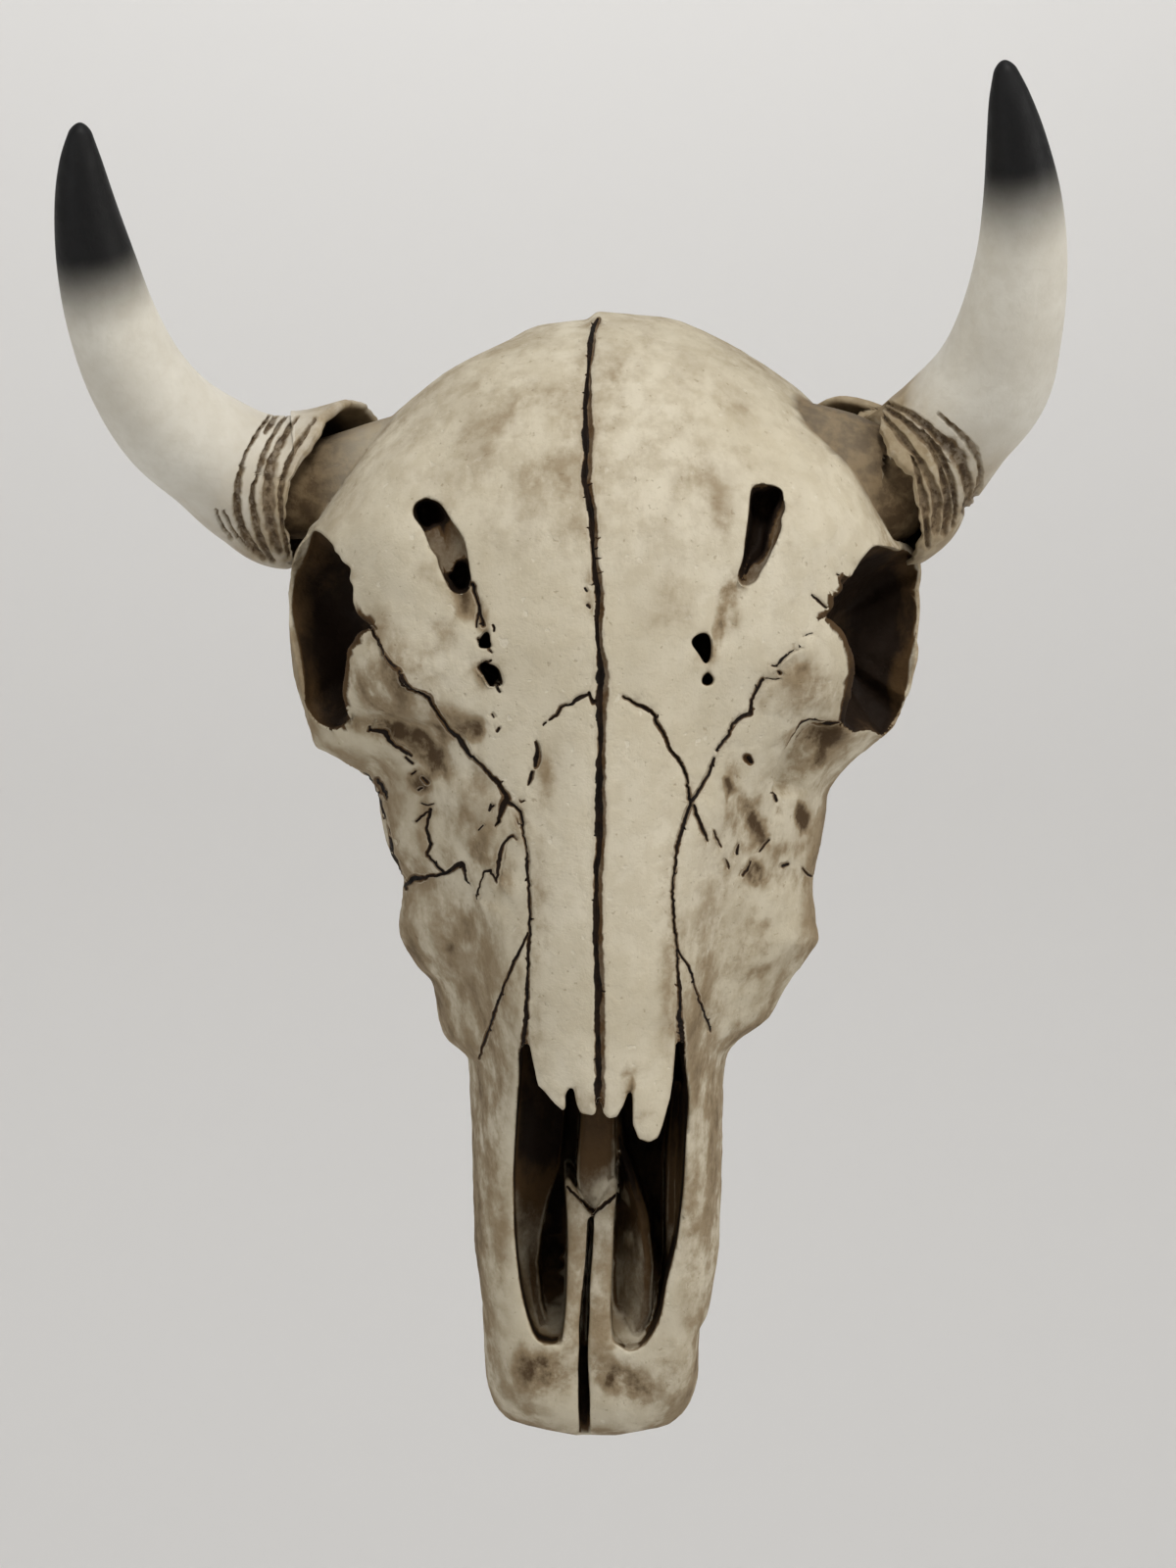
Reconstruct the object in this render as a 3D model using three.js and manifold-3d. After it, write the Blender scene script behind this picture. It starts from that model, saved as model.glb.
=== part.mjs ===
// A carved cow skull made to hang with its flat back against an upright surface, and two horn
// sheaths that sit on the skull's bony horn cores.
// Millimetres. The flat back is the plane y = 0, the face looks along -y, +x is the viewer's right
// and +z is up. The origin is on the flat back, on the middle line, level with the eye sockets.
// A depth is a distance in front of the flat back, so it is -y.
import * as THREE from 'three';
import { mergeVertices } from 'three/addons/utils/BufferGeometryUtils.js';
import Module from 'manifold-3d';

const wasm = await Module();
wasm.setup();

// Driving dimensions
const CROWN_Z = 86.6;
const MUZZLE_Z = -220;
const SOCKET_TURN = THREE.MathUtils.degToRad(56);
const SOCKET_SIZE = { across: 20, tall: 25.5, deep: 27 };
const SOCKET_CENTRE = { left: [-71.5, 66, 0], right: [74, 66, -0.5] };
const RIM_TUBE = 2.6;
const NASAL_THICKNESS = 5;
const NASAL_TIP_Z = -132;
const NOSE_FLOOR_DEPTH = 12;
const CORE_GAP = 0.4;
const RIDGE_COUNT = 5;

// Lines of the skull, drawn along its length like the lines of a boat: each knot is [z, size].
const MID_DEPTH = along([
  [86.6, 43], [84.5, 56], [79, 67], [68, 79], [54, 89], [38, 97], [20, 101], [0, 101.5], [-20, 99.5],
  [-45, 97], [-75, 93], [-100, 88.5], [-110, 84], [-118, 72], [-135, 62], [-160, 53], [-185, 45],
  [-200, 40], [-212, 34], [-217, 29], [-220, 23],
]);
const INNER_X = along([
  [86.6, 0.6], [84, 12], [78, 18], [68, 23], [54, 26], [38, 28], [20, 27], [0, 25], [-20, 22],
  [-40, 19.5], [-62, 20], [-95, 18.5], [-118, 19.5], [-160, 19], [-205, 15], [-217, 9], [-220, 4],
]);
const INNER_DEPTH = along([
  [86.6, 43], [84, 54], [78, 64], [68, 75.5], [54, 86], [38, 93.5], [20, 98], [0, 98], [-20, 96],
  [-45, 92], [-75, 87], [-100, 82], [-118, 71], [-135, 62], [-160, 53], [-185, 45], [-200, 40],
  [-212, 34], [-217, 29], [-220, 23],
]);
const BROW_X = along([
  [86.6, 0.9], [84, 19], [78, 29], [68, 39], [54, 47], [38, 53], [20, 56], [0, 54], [-20, 47],
  [-40, 38], [-65, 35], [-85, 34], [-105, 30], [-118, 28], [-160, 27.5], [-205, 23], [-217, 13],
  [-220, 6],
]);
const BROW_DEPTH = along([
  [86.6, 43], [84, 50], [78, 57], [68, 65], [54, 73], [38, 83], [20, 89], [0, 88], [-20, 85],
  [-40, 80], [-65, 73], [-85, 67], [-105, 61], [-118, 58], [-135, 55], [-160, 49], [-185, 42],
  [-200, 38], [-212, 32], [-217, 28], [-220, 23],
]);
const SIDE_X = {
  left: along([
    [86.6, 1.2], [84.7, 16], [80, 24.5], [71.3, 39.5], [61.6, 52.4], [56.3, 57.5], [38, 67.5], [28, 74],
    [20, 80], [7, 81.8], [-9, 80.5], [-19, 78.5], [-27.5, 76], [-31.6, 69.5], [-36, 63], [-41, 59],
    [-50, 57.2], [-58, 55.4], [-65.7, 51.8], [-78.4, 53.4], [-89, 48.6], [-94, 44.6], [-103.7, 42.9],
    [-109, 40.8], [-115, 35], [-133.6, 34], [-160.7, 33.4], [-182.6, 31.4], [-202, 30.4], [-210, 28.8],
    [-216, 24], [-218.8, 13], [-220, 7],
  ]),
  right: along([
    [86.6, 1.2], [84.7, 18], [80, 31.5], [75.5, 40], [66.8, 53], [62, 58], [50.6, 66.5], [43, 70],
    [31.8, 73.5], [22.8, 79], [17, 84.6], [0, 85.6], [-14, 83.8], [-20, 80.6], [-26.4, 77.2],
    [-31, 72], [-36, 66.2], [-42.6, 61.8], [-53, 60.5], [-62, 58.6], [-66, 57.9], [-77, 59.1],
    [-81.5, 59.9], [-85, 58], [-91.6, 53.2], [-98.4, 49.4], [-104, 46.2], [-108.4, 40.1],
    [-113.4, 35.6], [-120, 34.5], [-160.7, 33.9], [-185, 30.6], [-190, 28], [-202, 27.9],
    [-210, 26.3], [-217.6, 20], [-220, 8],
  ]),
};
const SIDE_DEPTH = along([
  [86.6, 43], [78, 42], [60, 45], [38, 58], [28, 60], [20, 56], [0, 52], [-20, 50], [-31, 48],
  [-50, 46], [-65, 45], [-78, 41], [-95, 38], [-115, 35], [-135, 33], [-160, 31], [-185, 28],
  [-205, 24], [-217, 21], [-220, 18],
]);
const FLANK_X = along([
  [86.6, 1], [84, 16], [78, 27], [68, 42], [56, 50], [38, 53], [20, 60], [0, 62], [-20, 59], [-40, 50],
  [-70, 44], [-100, 36], [-120, 32], [-205, 27], [-216, 17], [-220, 6],
]);
const FLANK_DEPTH = along([
  [86.6, 43], [84, 33], [78, 24], [68, 16], [54, 14], [20, 20], [0, 22], [-31, 20], [-65, 18],
  [-100, 15], [-160, 12], [-205, 10], [-220, 9],
]);
const BACK_SHARE = 0.88;
const BACK_DEPTH = along([
  [86.6, 43], [84, 26], [78, 11], [68, -3], [54, -8], [-213, -8], [-218, 0], [-220, 6],
]);

// A smooth curve through the knots that never swings past them (monotone cubic).
function along(knots) {
  const n = knots.length;
  const step = knots.slice(1).map((k, i) => k[0] - knots[i][0]);
  const rise = knots.slice(1).map((k, i) => (k[1] - knots[i][1]) / step[i]);
  const slope = knots.map((_, i) => {
    if (i === 0) return rise[0];
    if (i === n - 1) return rise[n - 2];
    return rise[i - 1] * rise[i] <= 0 ? 0 : (2 * rise[i - 1] * rise[i]) / (rise[i - 1] + rise[i]);
  });
  return (z) => {
    let i = 0;
    while (i < n - 2 && (step[0] < 0 ? z < knots[i + 1][0] : z > knots[i + 1][0])) i++;
    const t = THREE.MathUtils.clamp((z - knots[i][0]) / step[i], 0, 1);
    const [a, b] = [knots[i][1], knots[i + 1][1]];
    const lead = slope[i] * step[i];
    const trail = slope[i + 1] * step[i];
    return a + t * (lead + t * (3 * (b - a) - 2 * lead - trail + t * (2 * (a - b) + lead + trail)));
  };
}

// A closed surface through equal rings of points, with a fan over each end.
function loft(rings) {
  const sides = rings[0].length;
  const points = rings.flat();
  const index = [];
  rings.slice(1).forEach((_, i) => {
    for (let j = 0; j < sides; j++) {
      const a = i * sides + j;
      const b = i * sides + ((j + 1) % sides);
      index.push(a, b + sides, b, a, a + sides, b + sides);
    }
  });
  [0, rings.length - 1].forEach((end) => {
    const middle = new THREE.Vector3();
    rings[end].forEach((p) => middle.addScaledVector(p, 1 / sides));
    points.push(middle);
    for (let j = 0; j < sides; j++) {
      const a = end * sides + j;
      const b = end * sides + ((j + 1) % sides);
      if (end) index.push(b, a, points.length - 1);
      else index.push(a, b, points.length - 1);
    }
  });
  return new THREE.BufferGeometry().setFromPoints(points).setIndex(index);
}

// A round bar along a curve. Each station is [place along the curve from 0 to 1, radius].
function bar(curve, stations, sides) {
  const forward = new THREE.Vector3(0, -1, 0);
  const rings = stations.map(([place, radius]) => {
    const centre = curve.getPointAt(place);
    const ahead = curve.getTangentAt(place);
    const across = ahead.clone().cross(forward).normalize();
    const front = across.clone().cross(ahead);
    return [...Array(sides).keys()].map((k) => {
      const turn = (2 * Math.PI * k) / sides;
      return centre.clone()
        .addScaledVector(across, radius * Math.cos(turn))
        .addScaledVector(front, radius * Math.sin(turn));
    });
  });
  return loft(rings);
}

// An outline of [x, z] points, extruded from one depth to another.
function prism(outline, fromDepth, toDepth) {
  const shape = new THREE.Shape(outline.map(([x, z]) => new THREE.Vector2(x, z)));
  return new THREE.ExtrudeGeometry(shape, { depth: toDepth - fromDepth, bevelEnabled: false })
    .translate(0, 0, fromDepth)
    .rotateX(Math.PI / 2);
}

function solid(geometry) {
  const plain = new THREE.BufferGeometry().setAttribute('position', geometry.getAttribute('position'));
  if (geometry.index) plain.setIndex(geometry.index);
  const merged = mergeVertices(plain, 1e-4);
  const made = new wasm.Manifold(new wasm.Mesh({
    numProp: 3,
    vertProperties: merged.attributes.position.array,
    triVerts: new Uint32Array(merged.index.array),
  }));
  if (made.volume() <= 0) throw new Error('a solid has its faces pointing inwards');
  return made;
}

function namedMesh(name, body, material) {
  const made = body.getMesh();
  const geometry = new THREE.BufferGeometry();
  geometry.setAttribute('position', new THREE.BufferAttribute(new Float32Array(made.vertProperties), 3));
  geometry.setIndex(new THREE.BufferAttribute(new Uint32Array(made.triVerts), 1));
  geometry.computeVertexNormals();
  const mesh = new THREE.Mesh(geometry, material);
  mesh.name = name;
  return mesh;
}

// Head: one closed skin through level sections, from the crown to the end of the muzzle
const SECTION_STEPS = [4, 4, 5, 3, 1, 1];

function headLevels() {
  const crown = [84, 76, 68, 60, 53, 46, 39, 33].map(
    (degrees) => 22 + (CROWN_Z - 22) * Math.sin(THREE.MathUtils.degToRad(degrees)));
  const face = [...Array(35).keys()].map((i) => 50 - (i * 255) / 34);
  const chin = [-209, -213, -216, -218.4, MUZZLE_Z];
  return [...crown, ...face, ...chin];
}

function headSection(z) {
  const half = (side, sign) => {
    const wide = SIDE_X[side](z);
    return [
      [0, MID_DEPTH(z)],
      [INNER_X(z), INNER_DEPTH(z)],
      [Math.min(BROW_X(z), 0.9 * wide), BROW_DEPTH(z)],
      [wide, SIDE_DEPTH(z)],
      [FLANK_X(z), FLANK_DEPTH(z)],
      [BACK_SHARE * FLANK_X(z), BACK_DEPTH(z)],
      [0, BACK_DEPTH(z)],
    ].map(([x, depth]) => new THREE.Vector3(sign * x, -depth, z));
  };
  const right = half('right', 1);
  const left = half('left', -1);
  const landmarks = [...right, ...left.slice(1, -1).reverse()];
  const curve = new THREE.CatmullRomCurve3(landmarks, true, 'centripetal');
  const steps = [...SECTION_STEPS, ...SECTION_STEPS.slice().reverse()];
  return steps.flatMap((count, i) =>
    [...Array(count).keys()].map((k) => curve.getPoint((i + k / count) / landmarks.length)));
}

function head() {
  const skin = solid(loft(headLevels().map(headSection)));
  const behind = new THREE.BoxGeometry(400, 60, 500).translate(0, 30, -60);
  return skin.subtract(solid(behind));
}

// Eye sockets: deep oval hollows that look outwards, each with a raised rim
function inSocket(geometry, side) {
  const [x, depth, z] = SOCKET_CENTRE[side];
  const turn = side === 'left' ? -SOCKET_TURN : SOCKET_TURN;
  return solid(geometry.rotateX(Math.PI / 2).rotateZ(turn).translate(x, -depth, z));
}

function socketHollow(side) {
  const { across, tall, deep } = SOCKET_SIZE;
  return inSocket(new THREE.SphereGeometry(1, 18, 12).scale(across, tall, deep), side);
}

function socketRim(side) {
  const { across, tall } = SOCKET_SIZE;
  const ring = new THREE.TorusGeometry(across + RIM_TUBE * 0.4, RIM_TUBE, 6, 20);
  return inSocket(ring.scale(1, (tall + 1) / (across + 1), 1), side);
}

// Brow slots and the small holes under them
const BROW_SLOTS = [
  { from: [-42.2, 27.5], to: [-35, 11], radius: 4 },
  { from: [41.4, 29], to: [39, 14.5], radius: 3.3 },
];
const BROW_HOLES = [
  { at: [-27.6, -4.6], radius: 1.8 },
  { at: [-26.4, -12.6], radius: 2.4 },
  { at: [26, -6], radius: 2.6 },
  { at: [27.4, -13.6], radius: 1.4 },
];
const SLOT_FLOOR_DEPTH = 76;

function slotOutline({ from, to, radius }) {
  const lean = Math.atan2(to[1] - from[1], to[0] - from[0]);
  const end = (centre, start) => [...Array(6).keys()].map((k) => {
    const turn = start + (Math.PI * k) / 5;
    return [centre[0] + radius * Math.cos(turn), centre[1] + radius * Math.sin(turn)];
  });
  return [...end(to, lean - Math.PI / 2), ...end(from, lean + Math.PI / 2)];
}

function holeOutline({ at, radius }) {
  return [...Array(8).keys()].map((k) => [
    at[0] + radius * Math.cos((Math.PI * k) / 4), at[1] + radius * Math.sin((Math.PI * k) / 4)]);
}

// Nose: an open hollow under the broken ends of the nasal bones
const NOSE_OUTLINE = [
  [-18.4, -106.5], [-20.1, -116.4], [-21.2, -129], [-22, -143.6], [-21.6, -162.6], [-20.1, -176.2],
  [-17.8, -186], [-15.4, -190], [-9.4, -190.6], [-2, -188], [5.1, -190.6], [8.6, -192.5],
  [12.4, -191.2], [16.6, -184.5], [18.8, -173.4], [21.2, -162.6], [22.9, -148.9], [23.6, -132.7],
  [24, -121.8], [22.6, -112.4], [21.4, -106],
];
const UNDER_NASAL_OUTLINE = [[-16, -112], [-16, -96], [-11, -90], [12, -90], [18, -96], [18, -112]];
const NASAL_TIPS_OUTLINE = [
  [20.4, -97], [20.2, -104.2], [19.4, -114.9], [18.6, -120.6], [16.9, -126.5], [15.6, -130.2],
  [13.1, -131.3], [10.6, -130.2], [9.2, -126.5], [9, -120.6], [8.7, -117], [7.8, -118.3],
  [6.6, -121.6], [4.9, -124.4], [2.9, -124.9], [1.6, -123.6], [0.6, -119], [-0.4, -123.4],
  [-1.1, -124], [-4.1, -123.6], [-5.4, -120.6], [-5.8, -117], [-7, -116.6], [-8.1, -119.1],
  [-7.9, -122.4], [-8.8, -122.8], [-10.8, -121.1], [-13.3, -118.2], [-15.1, -116.6],
  [-16.1, -111.7], [-17.4, -105.9], [-18.2, -97],
];
const NASAL_FRONT = along([[-96, 89.6], [-115, 86.4], [NASAL_TIP_Z, 82.6]]);
const NASAL_CAMBER = 0.0145;

function nasalBones() {
  const steps = [-22, -15, -8, 0, 8, 15, 22];
  const rings = [-96, -105, -114, -123, NASAL_TIP_Z].map((z) => {
    const arch = (x) => NASAL_FRONT(z) - NASAL_CAMBER * x * x;
    const front = steps.map((x) => new THREE.Vector3(x, -arch(x), z));
    const rear = steps.map((x) => new THREE.Vector3(x, NASAL_THICKNESS - arch(x), z));
    return [...front, ...rear.reverse()];
  });
  return solid(loft(rings)).intersect(solid(prism(NASAL_TIPS_OUTLINE, 50, 100)));
}

// The middle bar of the nose: the vomer above, and two prongs below with a slit between them
const SEPTUM_OUTLINE = [
  [4.6, -110], [5, -134], [4.4, -150], [4.3, -192], [-8.1, -192], [-7.9, -180], [-7.6, -152],
  [-6, -148], [-4, -130], [-3.6, -110],
];
const SLIT_OUTLINE = [
  [-0.7, -155.5], [-1.4, -170], [-1.6, -196], [-1.7, -224], [-4.4, -224], [-4.5, -190],
  [-3.6, -170], [-2.4, -155.5],
];
const SEPTUM_FRONT = 42.5;
const SLIT_FLOOR_DEPTH = 24;

// Scroll bones: one thin curved leaf on each side, deep inside the nose
const SCROLLS = [
  { points: [[-6, -118], [-9, -140], [-14.5, -160], [-14, -176], [-10, -192]], front: 34 },
  { points: [[9, -118], [13.5, -138], [16.5, -152], [16.6, -168], [12, -194]], front: 38 },
];
const SCROLL_HALF = 1.1;

function scroll({ points, front }) {
  const line = new THREE.CatmullRomCurve3(
    points.map(([x, z]) => new THREE.Vector3(x, z, 0))).getSpacedPoints(8);
  const edge = (offset) => line.map((p) => [p.x + offset, p.y]);
  return solid(prism([...edge(SCROLL_HALF), ...edge(-SCROLL_HALF).reverse()], 6, front));
}

// The middle seam, a narrow valley down the face from the crown to the nasal tips
const SEAM = { half: 1.2, deep: 1.7, proud: 4 };

function seam() {
  const x = along([[90, 0], [40, -2.2], [0, -1.4], [-30, 0.2], [-90, 0], [-125, 0.6]]);
  const front = (z) => (z > -98 ? MID_DEPTH(z) : NASAL_FRONT(z));
  const levels = [88, 85, 81, 76, 69, 60, 48, 34, 18, 0, -20, -42, -64, -84, -97, -108, -122, -136];
  const grown = (SEAM.half * (SEAM.deep + SEAM.proud)) / SEAM.deep;
  return solid(loft(levels.map((z) => [
    new THREE.Vector3(x(z), SEAM.deep - front(z), z),
    new THREE.Vector3(x(z) - grown, -SEAM.proud - front(z), z),
    new THREE.Vector3(x(z) + grown, -SEAM.proud - front(z), z),
  ])));
}

// Keyhole in the flat back: a round way in for a screw's head, and a slot above for its shank
const KEYHOLE = { z: 30, entry: 5.5, shank: 2.6, rise: 11, lip: 3, deep: 9.5 };

function keyhole() {
  const { z, entry, shank, rise, lip, deep } = KEYHOLE;
  const slot = (radius) => slotOutline({ from: [0, z], to: [0, z + rise], radius });
  const round = [...Array(16).keys()].map((k) => [
    entry * Math.cos((Math.PI * k) / 8), z + entry * Math.sin((Math.PI * k) / 8)]);
  return solid(prism(round, -2, deep))
    .add(solid(prism(slot(shank), -2, deep)))
    .add(solid(prism(slot(entry - 0.5), lip, deep)));
}

// Horns: [x, depth, z, radius] from inside the skull out to the tip
const HORNS = {
  left: {
    inside: [[-44, 52, 47], [-59, 50, 43]],
    sheath: [
      [-72.6, 48.5, 40.4, 22.6], [-82.4, 49, 38.8, 19.6], [-91.8, 52, 41.4, 17.9],
      [-101, 58, 46.4, 16.2], [-110.2, 67, 53.4, 14.5], [-117.4, 77, 63.6, 12.9],
      [-122, 87, 76.2, 11.4], [-124.4, 96, 89, 9.9], [-125.8, 104, 102.3, 7.5],
      [-125.9, 109, 111.6, 5.2], [-125.3, 113, 120.2, 2],
    ],
    mouth: { at: [-80.5, 70, 45], skullward: [0.84, 0.46, -0.28] },
  },
  right: {
    inside: [[48, 52, 46], [64, 50, 43]],
    sheath: [
      [77.6, 48.5, 41.4, 23.6], [86, 50, 42.8, 19.8], [94.6, 56, 50.8, 17.4], [101.4, 66, 61.6, 15.8],
      [105.2, 78, 75.8, 13.6], [106.4, 90, 91.2, 11.5], [105, 100, 104, 9.7],
      [102.5, 107, 116.2, 7.5], [99.9, 112, 126.6, 5], [98, 115, 134.8, 2],
    ],
    mouth: { at: [86.5, 70, 44], skullward: [-0.86, 0.43, -0.28] },
  },
};
const CORE_LENGTH = 16;
const RIDGES_FROM = 9;
const RIDGE_PITCH = 3.6;
const RIDGE_HEIGHT = 0.9;
const MOUTH_WALL = 2.4;
const MOUTH_CLEAR = 2.4;

function horn(side) {
  const { inside, sheath } = HORNS[side];
  const place = ([x, depth, z]) => new THREE.Vector3(x, -depth, z);
  const curve = new THREE.CatmullRomCurve3([...inside, ...sheath].map(place), false, 'centripetal');
  curve.arcLengthDivisions = 800;
  const length = curve.getLength();
  const knots = inside.length + sheath.length - 1;
  const arcs = curve.getLengths(800);
  const arcOf = (knot) => arcs[Math.round((knot / knots) * 800)];
  const lip = arcOf(inside.length);
  const radius = along(sheath.map((p, i) => [arcOf(inside.length + i) - lip, p[3]]));
  const at = (fromLip) => THREE.MathUtils.clamp((lip + fromLip) / length, 0, 1);
  return { curve, radius, at, reach: length - lip };
}

// Everything on the skull's side of a horn's slanting mouth, moved towards the skull by a distance
function skullSide(side, moved) {
  const { at, skullward } = HORNS[side].mouth;
  const away = new THREE.Vector3(skullward[0], -skullward[1], skullward[2]).normalize();
  const block = new THREE.BoxGeometry(120, 120, 80).translate(0, 0, 40 + moved);
  block.applyQuaternion(new THREE.Quaternion().setFromUnitVectors(new THREE.Vector3(0, 0, 1), away));
  return solid(block.translate(at[0], -at[1], at[2]));
}

// The sheath: a flared slanting mouth, a band of ridges, then a smooth taper to a rounded tip
function hornSheath(side) {
  const { curve, radius, at, reach } = horn(side);
  const ridgesEnd = RIDGES_FROM + RIDGE_COUNT * RIDGE_PITCH;
  const ridge = (s) => {
    if (s < RIDGES_FROM || s > ridgesEnd) return 0;
    return RIDGE_HEIGHT * (Math.sin(((s - RIDGES_FROM) / RIDGE_PITCH) * 2 * Math.PI) - 0.2);
  };
  const banded = [...Array(RIDGE_COUNT * 4 + 1).keys()].map((k) => RIDGES_FROM + k * (RIDGE_PITCH / 4));
  const smooth = [...Array(12).keys()].map(
    (k) => ridgesEnd + 3 + ((reach - ridgesEnd - 5) * k) / 11);
  const stations = [-18, 0, 4, ...banded, ...smooth].map((s) => [at(s), radius(s) + ridge(s)]);
  stations.push([at(reach - 0.9), 1.7], [1, 0.7]);
  const hollow = [-20, -3, 8].map((s) => [at(s), radius(Math.max(s, 0)) - MOUTH_WALL]);
  hollow.push([at(CORE_LENGTH + CORE_GAP), coreRadius(CORE_LENGTH) + CORE_GAP]);
  return solid(bar(curve, stations, 16))
    .subtract(solid(bar(curve, hollow, 16)))
    .subtract(skullSide(side, 0));
}

function coreRadius(s) {
  return THREE.MathUtils.mapLinear(s, 0, CORE_LENGTH, 15, 12.4);
}

// The bony core that carries a sheath, and the space that the sheath's mouth needs around it
function hornCore(side) {
  const { curve, at } = horn(side);
  const stations = [-27, -18, -10, -4, 4, 10, CORE_LENGTH].map((s) => [
    at(s), coreRadius(s) + Math.max(0, -s - 4) * 0.16]);
  return solid(bar(curve, stations, 16));
}

function mouthRoom(side) {
  const { curve, radius, at } = horn(side);
  const stations = [-20, 0, 8, 26].map((s) => [at(s), radius(Math.max(s, 0)) + MOUTH_CLEAR]);
  return solid(bar(curve, stations, 16)).subtract(skullSide(side, MOUTH_CLEAR));
}

function skull() {
  const nose = solid(prism(NOSE_OUTLINE, NOSE_FLOOR_DEPTH, 110));
  const underNasal = solid(prism(UNDER_NASAL_OUTLINE, NOSE_FLOOR_DEPTH + 4, 74));
  let bone = head().subtract(nose).subtract(underNasal);
  bone = bone.add(nasalBones());
  bone = bone.add(solid(prism(SEPTUM_OUTLINE, 6, SEPTUM_FRONT)));
  SCROLLS.forEach((leaf) => { bone = bone.add(scroll(leaf)); });
  bone = bone.subtract(solid(prism(SLIT_OUTLINE, SLIT_FLOOR_DEPTH, 70)));
  ['left', 'right'].forEach((side) => {
    bone = bone.add(socketRim(side)).subtract(mouthRoom(side)).add(hornCore(side));
    bone = bone.subtract(socketHollow(side));
  });
  BROW_SLOTS.forEach((slot) => {
    bone = bone.subtract(solid(prism(slotOutline(slot), SLOT_FLOOR_DEPTH, 110)));
  });
  BROW_HOLES.forEach((hole) => {
    bone = bone.subtract(solid(prism(holeOutline(hole), SLOT_FLOOR_DEPTH + 6, 110)));
  });
  return bone.subtract(seam()).subtract(keyhole());
}

const boneMaterial = new THREE.MeshStandardMaterial({ color: 0xcdbf9f, roughness: 0.75, metalness: 0 });
const hornMaterial = new THREE.MeshStandardMaterial({ color: 0xc9c1ae, roughness: 0.6, metalness: 0 });

const part = new THREE.Group();
part.add(
  namedMesh('skull', skull(), boneMaterial),
  namedMesh('horn_left', hornSheath('left'), hornMaterial),
  namedMesh('horn_right', hornSheath('right'), hornMaterial),
);

export default part;
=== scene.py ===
# A carved cow skull that hangs with its flat back against a wall, with two horn sheaths on bony cores.
# Metres: the flat back is y = 0, the face looks along -y, +x is the viewer's right, +z is up.
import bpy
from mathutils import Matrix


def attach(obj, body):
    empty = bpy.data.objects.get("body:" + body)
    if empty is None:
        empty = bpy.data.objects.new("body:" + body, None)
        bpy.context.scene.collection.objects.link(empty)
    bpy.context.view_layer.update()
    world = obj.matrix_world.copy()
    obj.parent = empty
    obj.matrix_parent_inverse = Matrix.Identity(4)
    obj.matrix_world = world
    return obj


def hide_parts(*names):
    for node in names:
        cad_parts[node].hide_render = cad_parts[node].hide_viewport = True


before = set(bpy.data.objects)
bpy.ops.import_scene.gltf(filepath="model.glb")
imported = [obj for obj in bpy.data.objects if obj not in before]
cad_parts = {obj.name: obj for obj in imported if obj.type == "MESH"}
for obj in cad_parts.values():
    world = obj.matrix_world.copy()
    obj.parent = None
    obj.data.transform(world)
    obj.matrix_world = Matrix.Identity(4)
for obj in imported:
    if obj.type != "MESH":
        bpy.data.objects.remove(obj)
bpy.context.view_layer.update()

import math

import bmesh
import bpy
import numpy as np
from mathutils import Matrix, Vector
from mathutils.bvhtree import BVHTree

bpy.ops.object.select_all(action="DESELECT")


# Camera
# The photograph's own place and lens: three quarters of a metre in front of the back, level with the cheeks.
CAMERA_MM = (-2.3, -750.0, -40.0)
FOCAL_PIXELS = 2684
FRAME_PIXELS = (1200, 1600)
SENSOR_MM = 36

bpy.ops.object.camera_add(location=Vector(CAMERA_MM) / 1000, rotation=(math.pi / 2, 0, 0))
camera = bpy.context.object
camera.data.sensor_width = SENSOR_MM
camera.data.lens = SENSOR_MM * FOCAL_PIXELS / FRAME_PIXELS[1]
camera.data.clip_start = 0.01
bpy.context.scene.camera = camera


# Floor and backdrop
# One pale round dish: a flat floor a metre below the skull that sweeps up into a wall all round it.
FLOOR_Z = -1.05
FLOOR_RADIUS = 1.9
COVE_RADIUS = 1.0
WALL_TOP = 2.6
COVE_STEPS = 12
DISH_SIDES = 128
DISH_COLOUR = (0.80, 0.79, 0.775, 1)
DISH_ROUGHNESS = 0.9

bpy.ops.mesh.primitive_circle_add(
    vertices=DISH_SIDES, radius=FLOOR_RADIUS, fill_type="NGON", location=(0, 0, FLOOR_Z))
backdrop = bpy.context.object
backdrop.name = "backdrop"
bpy.ops.object.mode_set(mode="EDIT")
bpy.ops.mesh.select_mode(type="EDGE")
radius = FLOOR_RADIUS
for step in range(1, COVE_STEPS + 1):
    turn = [math.pi / 2 * k / COVE_STEPS for k in (step - 1, step)]
    rise = COVE_RADIUS * (math.cos(turn[0]) - math.cos(turn[1]))
    wider = FLOOR_RADIUS + COVE_RADIUS * math.sin(turn[1])
    if step == 1:
        bpy.ops.mesh.select_all(action="SELECT")
        bpy.ops.mesh.region_to_loop()
    bpy.ops.mesh.extrude_edges_move(TRANSFORM_OT_translate={"value": (0, 0, rise)})
    grow = wider / radius
    bpy.ops.transform.resize(value=(grow, grow, 1), center_override=(0, 0, 0))
    radius = wider
bpy.ops.mesh.extrude_edges_move(TRANSFORM_OT_translate={"value": (0, 0, WALL_TOP - FLOOR_Z - COVE_RADIUS)})
bpy.ops.mesh.select_all(action="SELECT")
bpy.ops.mesh.normals_make_consistent(inside=True)
bpy.ops.object.mode_set(mode="OBJECT")
bpy.ops.object.transform_apply(location=True, rotation=True, scale=True)
bpy.ops.object.shade_smooth()
dish_paint = bpy.data.materials.new("pale_backdrop")
dish_paint.use_nodes = True
dish_shader = dish_paint.node_tree.nodes["Principled BSDF"]
dish_shader.inputs["Base Color"].default_value = DISH_COLOUR
dish_shader.inputs["Roughness"].default_value = DISH_ROUGHNESS
backdrop.data.materials.append(dish_paint)
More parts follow.
